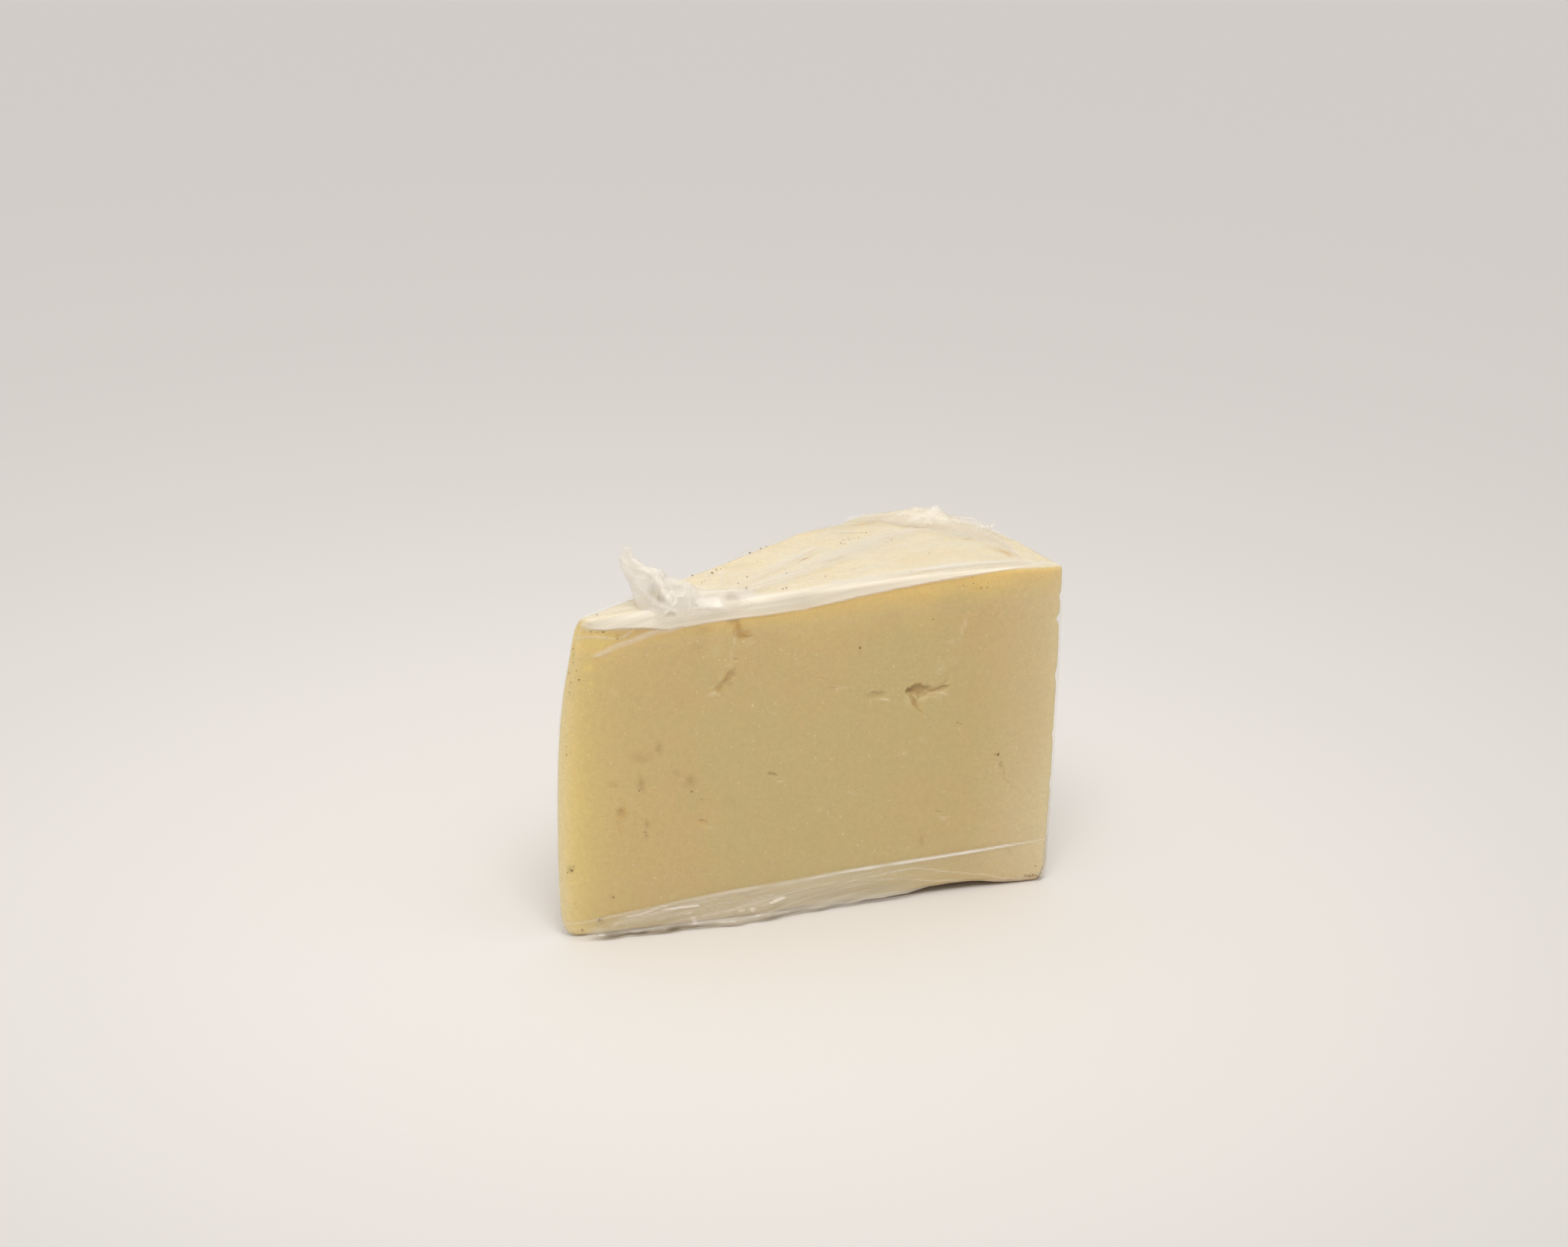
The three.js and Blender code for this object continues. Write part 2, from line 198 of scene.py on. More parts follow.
def facets(points, size, seed, folds=7):
    """Crumpled film: flat facets between sharp straight creases, between about -1 and 1."""
    draw = np.random.default_rng(seed)
    total = np.zeros(len(points))
    weight = 0.0
    for _ in range(folds):
        direction = draw.normal(size=3)
        direction /= np.linalg.norm(direction)
        wave = size * draw.uniform(0.6, 2.0)
        phase = np.asarray(points) @ direction / wave + draw.uniform()
        total += (4 * np.abs(phase % 1.0 - 0.5) - 1) * wave
        weight += wave
    return total / weight * 1.8


def line_distance(places, line):
    """Distance of each place from a line of points, and which point of it is nearest, as a
    number that runs from 0 to the last point's index."""
    nearest = np.full(len(places), np.inf)
    index = np.zeros(len(places))
    for step in range(len(line) - 1):
        start = np.array(line[step], dtype=float)
        run = np.array(line[step + 1], dtype=float) - start
        share = np.clip(((places - start) @ run) / (run @ run), 0, 1)
        distance = np.linalg.norm(places - start - share[:, None] * run, axis=1)
        closer = distance < nearest
        nearest[closer] = distance[closer]
        index[closer] = step + share[closer]
    return nearest, index


# Outline of the wedge
def tip_x(z):
    above = z > TIP_BULGE_HEIGHT
    span = np.where(above, TOP_HEIGHT - TIP_BULGE_HEIGHT - TIP_CORNER, TIP_BULGE_HEIGHT)
    draw_in = np.where(above, TIP_DRAW_IN_TOP, TIP_DRAW_IN_BASE)
    foot = TIP_FOOT_DRAW_IN * np.clip(1 - z / TIP_FOOT_HEIGHT, 0, 1) ** 2
    return foot - TIP_BULGE + draw_in * np.minimum(np.abs(z - TIP_BULGE_HEIGHT) / span, 1.1) ** 3


def rim_x(z):
    return RIM_X - RIM_LEAN * (1 - np.clip(z / TOP_HEIGHT, 0, 1)) ** 2


def top_z(x):
    tip_fall = TOP_FALL_AT_TIP * np.maximum(0, 1 - x / TOP_FALL_LENGTH)
    near_rim = np.maximum(0, (x - RIM_TOP_FALL_FROM) / (RIM_X - RIM_TOP_FALL_FROM))
    near_tip = np.clip(1 - x / TIP_CORNER, 0, 1.1)
    return TOP_HEIGHT - tip_fall - RIM_TOP_FALL * near_rim ** 2 - TIP_CORNER_FALL * near_tip ** 2


def base_z(x, y):
    """Height of the underside, which is lifted along a part of the front cut."""
    return np.interp(x, BASE_LIFT_X, BASE_LIFT_Z) * fall(y, *BASE_LIFT_ACROSS)


def apex_x(z):
    return tip_x(z) - APEX_BEYOND_TIP


def wheel_radius(points):
    """Distance of each point from the wheel's axis, where the planes of both cuts meet."""
    return np.hypot(points[:, 0] - apex_x(points[:, 2]), points[:, 1])


def from_back_cut(x, y, z=TOP_HEIGHT):
    """How far inside the plane of the back cut a place lies."""
    return (x - apex_x(z)) * math.sin(WEDGE_ANGLE) - y * math.cos(WEDGE_ANGLE)


def back_wear(x, y):
    """How far the top has worn down along the back cut, near the rim."""
    worn = BACK_TOP_WEAR * smoothstep(np.hypot(x - apex_x(TOP_HEIGHT), y), *BACK_WEAR_ALONG)
    return worn * fall(from_back_cut(x, y), *BACK_WEAR_ACROSS)


def edge_spread(index, count, edge_cells, inset):
    """Grid line `index` of `count`, as a share of the whole, with `edge_cells` lines kept for
    the rounding of each edge, which takes up the share `inset`."""
    low = inset * index / edge_cells
    high = 1 - inset * (count - index) / edge_cells
    middle = inset + (1 - 2 * inset) * (index - edge_cells) / (count - 2 * edge_cells)
    return np.where(index < edge_cells, low, np.where(index > count - edge_cells, high, middle))


def wedge_surface(along, across_index, across_count, up, grow=0.0, edge_cells=3):
    """Points of the wedge's surface, grown outwards evenly, and their outward directions.
    `along` and `up` are shares of the radius and the height; the place across is a grid line."""
    edge = CUT_EDGE_ROUND + grow
    nominal_z = up * TOP_HEIGHT
    apex = apex_x(nominal_z) - grow / math.tan(WEDGE_ANGLE / 2)
    r_near = tip_x(nominal_z) - grow - apex
    r_far = rim_x(nominal_z) + grow - apex
    r = r_near + (r_far - r_near) * along
    half_width = r * WEDGE_ANGLE / 2
    inset = np.minimum(edge / (2 * half_width), 0.25)
    across = edge_spread(across_index, across_count, edge_cells, inset)
    w = half_width * (2 * across - 1)
    angle = WEDGE_ANGLE / 2 + w / r
    x = apex + r * np.cos(angle)
    y = r * np.sin(angle) - grow
    low = base_z(x, y)
    high = top_z(x) - back_wear(x, y) + grow
    z = low + (high - low) * up

    # Round the edges
    edge_width = np.minimum(edge, half_width * 0.9)
    place = np.stack([r, w, z], axis=1)
    core = np.stack([
        np.clip(r, r_near + edge, r_far - edge),
        np.clip(w, -half_width + edge_width, half_width - edge_width),
        np.clip(z, low + edge, high - edge),
    ], axis=1)
    even = np.full(len(r), edge)
    lean = (place - core) / np.stack([even, edge_width, even], axis=1)
    size = np.linalg.norm(lean, axis=1)
    reach = np.abs(lean).max(axis=1) / np.maximum(size, 1e-9)
    rounded = core + (place - core) * reach[:, None]

    # Ease the corner between the back cut and the rim
    ease = BACK_CORNER_ROUND + grow
    corner = np.stack([r - (r_far - ease), w - (half_width - ease)], axis=1)
    eased = (corner > 0).all(axis=1)[:, None]
    longest = corner.max(axis=1)
    toward = unit(corner)
    side_lean = np.clip((longest - ease + edge) / edge, 0, 1)
    up_lean = lean[:, 2]
    draw_in = np.maximum(side_lean, np.abs(up_lean)) / np.maximum(np.hypot(side_lean, up_lean), 1e-9)
    side_reach = np.where(side_lean > 0, ease - edge + edge * side_lean * draw_in, longest)
    eased_place = np.stack([
        r_far - ease + toward[:, 0] * side_reach,
        half_width - ease + toward[:, 1] * side_reach,
        core[:, 2] + edge * up_lean * draw_in,
    ], axis=1)
    eased_lean = np.stack([toward[:, 0] * side_lean, toward[:, 1] * side_lean, up_lean], axis=1)
    rounded = np.where(eased, eased_place, rounded)
    lean = np.where(eased, eased_lean, lean)

    turn = WEDGE_ANGLE / 2 + rounded[:, 1] / rounded[:, 0]
    points = np.stack([
        apex + rounded[:, 0] * np.cos(turn),
        rounded[:, 0] * np.sin(turn) - grow,
        rounded[:, 2],
    ], axis=1)
    near_tip = 1 - np.clip((points[:, 0] - tip_x(nominal_z) + grow) / TIP_EDGE_REACH, 0, 1)
    points[:, 1] += TIP_EDGE_EASE * near_tip ** 2 * (1 - across)
    outward = np.stack([
        lean[:, 0] * np.cos(turn) - lean[:, 1] * np.sin(turn),
        lean[:, 0] * np.sin(turn) + lean[:, 1] * np.cos(turn),
        lean[:, 2],
    ], axis=1)
    return points, unit(outward)


# Sides of the box grid, whose axes run by radius, across and up; each is an axis and an end
UPRIGHT_SIDES = ((0, 0), (0, 1), (1, 0), (1, 1))
UNDERSIDE = (2, 0)
TOP_SIDE = (2, 1)


def box_grid(counts, sides):
    """Grid places on some sides of a box, as whole numbers on three axes, and their quads."""
    lines = np.array(counts) + 1
    quads = []
    for axis, end in sides:
        first, second = (axis + 1) % 3, (axis + 2) % 3
        a, b = np.meshgrid(np.arange(counts[first]), np.arange(counts[second]), indexing="ij")
        corners = []
        for step_a, step_b in ((0, 0), (1, 0), (1, 1), (0, 1)):
            place = np.empty((a.size, 3), dtype=np.int64)
            place[:, axis] = end * counts[axis]
            place[:, first] = a.ravel() + step_a
            place[:, second] = b.ravel() + step_b
            corners.append((place[:, 0] * lines[1] + place[:, 1]) * lines[2] + place[:, 2])
        if end == 0:
            corners.reverse()
        quads.append(np.stack(corners, axis=1))
    quads = np.concatenate(quads)
    keys, quads = np.unique(quads, return_inverse=True)
    quads = quads.reshape(-1, 4)
    across_and_up = lines[1] * lines[2]
    places = np.stack([keys // across_and_up, keys // lines[2] % lines[1], keys % lines[2]], axis=1)
    return places, quads


def edge_lines(count, edge_cells, inset):
    return edge_spread(np.arange(count + 1), count, edge_cells, inset)


def wedge_grid(cells, sides, heights, grow=0.0, edge_cells=3):
    """Points, quads and outward directions of some sides of the wedge, grown outwards evenly.
    The heights, one for each grid line upwards, are shares of the wedge's height."""
    places, quads = box_grid(cells, sides)
    along = edge_lines(cells[0], edge_cells, CUT_EDGE_ROUND / RIM_X)[places[:, 0]]
    up = heights[places[:, 2]]
    points, outward = wedge_surface(along, places[:, 1], cells[1], up, grow, edge_cells)
    return points, quads, outward


def even_heights(cells, low, high):
    """Evenly spaced shares of the wedge's height, one for each grid line upwards."""
    return low + (high - low) * np.arange(cells[2] + 1) / cells[2]


def sheet_quads(rows, columns, closed=False):
    """Quads between rows of points, where each row is an open line or a closed ring."""
    index = np.arange(columns if closed else columns - 1)
    following = (index + 1) % columns
    quads = []
    for low in range(0, (rows - 1) * columns, columns):
        high = low + columns
        quads.append(np.stack([low + index, low + following, high + following, high + index], axis=1))
    return np.concatenate(quads)


def along_line(line, at):
    """Points of a line in space, where 0 is its first point, 1 its second, and so on."""
    line = np.array(line, float)
    return np.column_stack([np.interp(at, np.arange(len(line)), line[:, axis]) for axis in range(3)])


# Meshes
def to_frame(points):
    """From millimetres on the wedge to metres in the shared frame."""
    return (np.asarray(points) + WEDGE_ORIGIN) * MM


def add_fields(mesh, fields):
    """Gives each vertex the values that the materials read."""
    for name, values in fields.items():
        values = np.asarray(values, dtype=np.float32)
        kind, slot = ("FLOAT", "value") if values.ndim == 1 else ("FLOAT_VECTOR", "vector")
        mesh.attributes.new(name, kind, "POINT").data.foreach_set(slot, values.ravel())


def make_piece(name, points, faces, material, fields):
    mesh = bpy.data.meshes.new(name)
    faces = faces if isinstance(faces, list) else faces.tolist()
    mesh.from_pydata(to_frame(points).tolist(), [], faces)
    add_fields(mesh, fields)
    mesh.polygons.foreach_set("use_smooth", np.ones(len(mesh.polygons), dtype=bool))
    mesh.materials.append(material)
    piece = bpy.data.objects.new(name, mesh)
    bpy.context.scene.collection.objects.link(piece)
    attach(piece, "root")
    return piece


# Materials
def srgb(red, green, blue):
    """A colour given as seen on a screen, from 0 to 255, as linear light."""
    channels = []
    for value in (red, green, blue):
        share = value / 255
        channels.append(share / 12.92 if share <= 0.04045 else ((share + 0.055) / 1.055) ** 2.4)
    return (*channels, 1.0)


class Material:
    """A node material with one principled shader."""

    def __init__(self, name, **constants):
        self.block = bpy.data.materials.new(name)
        self.block.use_nodes = True
        self.tree = self.block.node_tree
        self.shader = self.tree.nodes["Principled BSDF"]
        for socket, value in constants.items():
            self.shader.inputs[socket.replace("_", " ")].default_value = value

    def node(self, kind, settings=None, **inputs):
        """A new node. Its inputs are given by name, or by number as in0, in1 and so on."""
        made = self.tree.nodes.new(kind)
        for name, value in (settings or {}).items():
            setattr(made, name, value)
        for name, value in inputs.items():
            socket = made.inputs[int(name[2:]) if name.startswith("in") else name.replace("_", " ")]
            self.feed(socket, value)
        return made

    def feed(self, socket, value):
        if isinstance(value, bpy.types.NodeSocket):
            self.tree.links.new(value, socket)
        else:
            socket.default_value = value

    def shade(self, socket, value):
        self.feed(self.shader.inputs[socket], value)

    def field(self, name):
        return self.node("ShaderNodeAttribute", {"attribute_name": name}).outputs["Fac"]

    def field_vector(self, name):
        return self.node("ShaderNodeAttribute", {"attribute_name": name}).outputs["Vector"]

    def scale(self, vector, factor):
        made = self.node("ShaderNodeVectorMath", {"operation": "SCALE"}, in0=vector, Scale=factor)
        return made.outputs["Vector"]

    def millimetres(self):
        return self.scale(self.node("ShaderNodeTexCoord").outputs["Object"], 1 / MM)

    def noise(self, vector, size, detail=3.0, roughness=0.55):
        made = self.node("ShaderNodeTexNoise", Vector=vector, Scale=1 / size, Detail=detail,
                         Roughness=roughness)
        return made.outputs["Fac"]

    def dots(self, vector, size):
        made = self.node("ShaderNodeTexVoronoi", Vector=vector, Scale=1 / size)
        return made.outputs["Distance"], made.outputs["Color"]

    def math(self, operation, first, second=0.0, clamp=False):
        made = self.node("ShaderNodeMath", {"operation": operation, "use_clamp": clamp},
                         in0=first, in1=second)
        return made.outputs[0]

    def remap(self, value, from_low, from_high, to_low=0.0, to_high=1.0):
        made = self.node("ShaderNodeMapRange", {"interpolation_type": "SMOOTHSTEP"}, in0=value,
                         in1=from_low, in2=from_high, in3=to_low, in4=to_high)
        return made.outputs[0]

    def blend(self, share, first, second):
        made = self.node("ShaderNodeMix", {"data_type": "RGBA"}, in0=share, in6=first, in7=second)
        return made.outputs[2]

    def bump(self, height, distance, strength):
        made = self.node("ShaderNodeBump", Height=height, Distance=distance, Strength=strength)
        return made.outputs["Normal"]


PASTE = srgb(200, 177, 124)
PASTE_PINK = srgb(205, 177, 122)
PASTE_GREEN = srgb(199, 179, 123)
PASTE_GLOW = srgb(238, 212, 122)
# Painted glow: light coming through the top edge under the film's band
PASTE_BAND_GLOW = srgb(236, 200, 120)
# Painted shade in the cracks and eyes and under the wedge
PASTE_HOLLOW_SHADE = srgb(178, 144, 86)
PASTE_WARM = srgb(207, 165, 88)
PASTE_PALE = srgb(226, 211, 172)
RIND_CREAM = srgb(234, 221, 190)
RIND_YELLOW = srgb(234, 217, 178)
# Brown of stains, and of painted shade in the eyes and cracks
STAIN_AND_SHADE_BROWN = srgb(150, 116, 62)
SPECK_DARK = srgb(118, 97, 56)
SPECK_RUST = srgb(158, 116, 66)
FILM_WHITE = srgb(249, 246, 238)
FILM_CREAM = srgb(251, 244, 231)
FILM_GREY = srgb(108, 90, 60)
FILM_BEIGE = srgb(249, 239, 218)


def cheese_material():
    made = Material("cheese_paste", Roughness=0.46, IOR=1.45, Subsurface_Weight=0.22,
                    Subsurface_Radius=(1.0, 0.62, 0.26), Subsurface_Scale=0.004)
    place = made.millimetres()
    pink = made.field("pink")
    cloud = made.remap(made.noise(place, 7, 3.0), 0.3, 0.7, -0.3, 0.3)
    cloud = made.math("ADD", pink, cloud, True)
    base = made.blend(cloud, PASTE_GREEN, PASTE_PINK)
    base = made.blend(made.remap(made.noise(place, 3.0, 3.0), 0.4, 0.75, 0, 0.4), base, PASTE)
    base = made.blend(made.field("glow"), base, PASTE_GLOW)
    base = made.blend(made.field("band_glow"), base, PASTE_BAND_GLOW)
    rind = made.blend(made.remap(made.noise(place, 12, 4.0), 0.35, 0.7), RIND_CREAM, RIND_YELLOW)
    base = made.blend(made.field("rind"), base, rind)
    base = made.blend(made.field("pale"), base, PASTE_PALE)
    base = made.blend(made.field("warm"), base, PASTE_WARM)
    base = made.blend(made.field("hollow_shade"), base, PASTE_HOLLOW_SHADE)
    stipple = made.remap(made.noise(place, 0.7, 2.0), 0.5, 0.66, 0.65, 1.0)
    base = made.blend(made.math("MULTIPLY", made.field("stain_and_shade"), stipple), base, STAIN_AND_SHADE_BROWN)

    # White dots in the paste
    for size, near, far, share in ((2.0, 0.06, 0.17, 0.6), (4.6, 0.03, 0.1, 0.65)):
        distance, chance = made.dots(place, size)
        chosen = made.remap(made.node("ShaderNodeSeparateColor", Color=chance).outputs[0], 0.25, 0.85)
        dot = made.math("MULTIPLY", made.remap(distance, near, far, 1.0, 0.0), chosen)
        base = made.blend(made.math("MULTIPLY", dot, share), base, PASTE_PALE)
    grains = made.remap(made.noise(place, 0.45, 1.0), 0.25, 0.75, 0.95, 1.05)
    mottle = made.remap(made.noise(place, 1.6, 2.0), 0.3, 0.7, 0.975, 1.025)
    made.shade("Base Color", made.scale(base, made.math("MULTIPLY", grains, mottle)))
    made.shade("Roughness", made.remap(made.noise(place, 3, 2.0), 0.3, 0.7, 0.38, 0.55))

    grain = made.math("MULTIPLY", made.noise(place, 0.35, 3.0), 0.7)
    height = made.math("ADD", grain, made.noise(place, 2.2, 3.0))
    made.shade("Normal", made.bump(height, 0.16 * MM, 0.6))
    return made.block


def film_material(name, colour, lowest, thickest):
    """Clear film. Its haze hides what lies under it, fine creases run along its flow where the
    wisp field is strong, tint turns it to beige and shade greys it."""
    made = Material(name, Roughness=0.2, IOR=1.5, Specular_IOR_Level=0.6)
    flow = made.field_vector("flow")
    fine = made.noise(flow, 0.7, 1.5)
    broad = made.noise(flow, 2.4, 1.0)
    streak = made.math("ADD", made.remap(fine, 0.3, 0.7, -0.05, 0.05),
                       made.remap(broad, 0.3, 0.7, -0.16, 0.16))
    vein = made.math("ABSOLUTE", made.math("SUBTRACT", made.noise(flow, 1.2, 2.0), 0.5))
    fold = made.math("ABSOLUTE", made.math("SUBTRACT", made.noise(flow, 3.6, 1.5), 0.5))
    crease = made.math("MAXIMUM", made.remap(vein, 0.0, 0.06, 0.45, 0.0),
                       made.remap(fold, 0.0, 0.035, 0.9, 0.0))
    share = made.math("MULTIPLY", made.field("haze"), made.math("ADD", streak, 1.0))
    share = made.math("ADD", share, made.math("MULTIPLY", made.field("wisp"), crease))
    alpha = made.math("ADD", made.math("MULTIPLY", share, thickest), lowest, clamp=True)
    tinted = made.blend(made.field("tint"), colour, FILM_BEIGE)
    made.shade("Base Color", made.blend(made.field("shade"), tinted, FILM_GREY))
    made.shade("Alpha", alpha)
    made.shade("Normal", made.bump(fine, 0.25 * MM, 0.35))
    return made.block


def speck_material():
    made = Material("dark_specks", Roughness=0.7)
    share = made.remap(made.noise(made.millimetres(), 5, 2.0), 0.35, 0.6)
    made.shade("Base Color", made.blend(share, SPECK_DARK, SPECK_RUST))
    return made.block


# Cracks of a cut: each is a run of places with a half width and a depth at each of them
FRONT_CLEFTS = [
    [(44.2, 92, 2.4, 0.2), (44.9, 88.4, 2.3, 0.2), (45.2, 86.2, 2.1, 0.2), (46.2, 84, 1.6, 0.2),
     (46.7, 82.4, 1.6, 0.2)],
    [(46.6, 82.6, 1.6, 0.2), (48, 82.3, 1.3, 0.2), (49.6, 81.7, 0.8, 0.16), (51.6, 80.7, 0.25, 0.06)],
    [(45.3, 83.4, 0.4, 0.25), (45, 81.6, 0.25, 0.12), (44.6, 80.2, 0.35, 0.15), (44.9, 78.4, 0.2, 0.08)],
    [(44.5, 75.9, 0.3, 0.15), (45.4, 75.2, 0.45, 0.35), (46.6, 75.3, 0.25, 0.1)],
    [(45.6, 72.6, 0.6, 0.2), (44.5, 71.1, 1.6, 0.55), (42.8, 69.7, 1.1, 0.45), (41.5, 68, 1.3, 0.5),
     (40.7, 66.2, 0.4, 0.1)],
    [(41.6, 68.2, 0.7, 0.45), (40.4, 67.4, 0.8, 0.35), (39.4, 67, 0.4, 0.15)],
    [(96.4, 60.4, 1, 0.9), (96.9, 58.8, 0.7, 0.7), (97.8, 57, 0.8, 0.6), (98.8, 55.6, 0.5, 0.35),
     (100.4, 54, 0.25, 0.1)],
    [(105, 61.6, 0.8, 0.22), (106.6, 62.8, 0.7, 0.2), (107.6, 64.4, 0.7, 0.16), (107.8, 66.2, 0.4, 0.08)],
    [(101, 60.8, 1.3, 0.9), (103.4, 60.7, 0.9, 0.55), (105.4, 61, 1, 0.5)],
    [(122.9, 40.2, 0.3, 0.3), (123.6, 38.4, 0.25, 0.12), (124.4, 37.2, 0.4, 0.2)],
    [(124.8, 34.4, 0.3, 0.2), (125.2, 32.2, 0.45, 0.3), (126.8, 30.6, 0.3, 0.14), (129.4, 28, 0.2, 0.08),
     (132.6, 24.8, 0.15, 0.05)],
    [(13.2, 31.6, 0.6, 0.12), (12.6, 28.8, 0.3, 0.06)],
    [(101.4, 17.6, 0.6, 0.14), (101, 14.4, 0.3, 0.08)],
]
WARM_CLEFTS = FRONT_CLEFTS[:2]
# Eyes of the front cut: place, half sizes, turn in degrees, depth, and the way the floor rises
FRONT_EYES = [
    ((99.0, 61.0), (4.2, 2.6), -7, 1.15, (0.6, -0.3)),
    ((105.8, 61.1), (2.2, 1.2), 5, 0.6, (0.2, -0.6)),
    ((86.4, 61.0), (3.5, 1.6), 3, 0.36, (0.1, -0.6)),
    ((56.6, 40.9), (1.9, 0.8), -20, 0.4, (0.1, -0.8)),
    ((124.2, 36.6), (0.9, 1.7), -8, 0.34, (0.6, 0.2)),
    ((36.7, 29.2), (1.8, 1.0), -38, 0.26, (0.4, -0.6)),
    ((13.6, 34.2), (1.6, 2.6), 6, 0.2, (0.0, -0.6)),
    ((105.6, 24.5), (1.4, 0.6), -18, 0.2, (0.1, -0.6)),
    ((74.4, 65.4), (2.4, 0.5), -4, 0.12, (0.1, -0.5)),
    ((69.8, 67.6), (1.4, 0.4), -12, 0.1, (0.1, -0.5)),
]
EYE_WALL = 0.6
BACK_CLEFTS = [
    [(29, 63, 0.4, 0.5), (33, 57.4, 1.2, 2.2), (37.6, 54.2, 0.5, 0.6)],
    [(50.6, 78.2, 0.4, 0.4), (55.4, 76.4, 1.3, 1.9), (60.4, 76.8, 0.5, 0.5)],
    [(72.6, 47.4, 0.5, 0.4), (77.6, 45.4, 1.9, 2.4), (82.6, 44.4, 1.6, 1.8), (87.2, 45.8, 0.5, 0.3)],
    [(79.4, 45.2, 1.2, 2), (81.4, 41.2, 0.9, 1.5), (82.8, 37.2, 0.4, 0.4)],
    [(61.6, 24.2, 0.4, 0.4), (64.2, 22.8, 0.9, 1.3), (66.8, 22.8, 0.5, 0.5)],
    [(100.6, 70.2, 0.4, 0.4), (103.8, 63.6, 0.9, 1.6), (103, 57.2, 0.4, 0.4)],
    [(43.6, 33.4, 0.5, 0.5), (46.8, 29.8, 0.9, 1.1)],
    [(114, 31, 0.4, 0.4), (117, 29.4, 1, 1.2), (121, 30, 0.4, 0.3)],
]
# Chips out of the edge between the front cut and the rim: height, reach inwards and size
RIM_CHIPS = [(84.6, 0.5, 1.0), (78.2, 0.9, 1.1), (61.5, 0.5, 1.4), (44.0, 0.35, 1.2), (30.0, 0.2, 1.0)]
# How ragged the cracks' edges are, how round their floor is, and how far their warm colour,
# painted shade with light through the paste, and their dark one, painted shade, take to come in
CLEFT_EDGE = 0.3
CLEFT_ROUNDNESS = 1.7
CLEFT_WARM_DEPTHS = (0.02, 0.2)
CLEFT_SHADE_DEPTHS = (0.02, 1.1)
# How far light shows through the cheese: by the acute edge, under the top and by the rim
TIP_GLOW = 8.5
TOP_GLOW = 4.6
RIM_GLOW = 3.2
# Depth of the painted glow under the film's band, light coming through the top edge, and how much deeper it
# is further along
BAND_GLOW_DEPTH = 2.5
BAND_GLOW_DEEPER = 1.6
BAND_GLOW_DEEPER_X = (56, 90)
# How far the paste is pale from the rim's edge, strongly and weakly, and from the acute edge
RIM_PALE = 1.7
RIM_PALER = 4.0
TIP_PALE = 2.0
TIP_PALE_TOP = 88
RIND_SUNK = 0.3
# Points closer to the plane of a cut than this carry its cracks
CUT_SKIN = 1.0


def along_cleft(places, cleft):
    """Distance of each place from a crack's run, and the half width and the depth there."""
    cleft = np.array(cleft)
    distance, index = line_distance(places, cleft[:, :2])
    half, deepest = [np.interp(index, np.arange(len(cleft)), column) for column in cleft.T[2:]]
    return distance, half, deepest


def cleft_depth(places, clefts, seed):
    """How deep the cracks go at each place of a cut."""
    places = places + CLEFT_EDGE * (wander(places, 1.7, seed) + 0.6 * wander(places, 0.7, seed + 2))
    depth = np.zeros(len(places))
    for cleft in clefts:
        distance, half, deepest = along_cleft(places, cleft)
        inside = np.clip(1 - distance / half, 0, 1)
        depth = np.maximum(depth, deepest * (1 - (1 - inside) ** CLEFT_ROUNDNESS))
    return depth


def eye_depth(places, eyes, seed):
    """How deep the eyes go at each place of a cut."""
    points = on_sheet(places)
    ragged = 0.2 * noise(points, 1.5, seed)
    crumbly = 0.12 * noise(points, 0.6, seed + 1)
    depth = np.zeros(len(places))
    for centre, half, degrees, deepest, rise in eyes:
        turn = math.radians(degrees)
        off = places - np.array(centre)
        local = np.column_stack([
            (off[:, 0] * math.cos(turn) + off[:, 1] * math.sin(turn)) / half[0],
            (off[:, 1] * math.cos(turn) - off[:, 0] * math.sin(turn)) / half[1],
        ])
        inside = 1 - np.linalg.norm(local, axis=1) + ragged + crumbly
        floor = np.clip(1 - local @ np.array(rise), 0.15, 1.5)
        depth = np.maximum(depth, deepest * smoothstep(inside, 0, EYE_WALL) * floor)
    return depth


def eye_reach(places, eyes):
    """Distance of each place from the nearest eye's edge."""
    return np.minimum.reduce([np.linalg.norm(places - np.array(centre), axis=1) - max(half)
                              for centre, half, _, _, _ in eyes])


def cleft_reach(places, clefts):
    """Distance of each place from the nearest crack's edge."""
    gaps = [along_cleft(places, cleft)[:2] for cleft in clefts]
    return np.minimum.reduce([distance - half for distance, half in gaps])


def back_places(points):
    """Distance from the wheel's axis and height, for points on the back cut."""
    return np.column_stack([wheel_radius(points), points[:, 2]])


def spots(places, marks, seed):
    """Soft uneven patches; each mark has a place, two half sizes and a strength."""
    places = places + 0.8 * wander(places, 2.5, seed)
    strength = np.zeros(len(places))
    for x, z, half_x, half_z, share in marks:
        strength = np.maximum(strength, share * bump(oval(places, x, z, half_x, half_z), 1.5))
    return strength
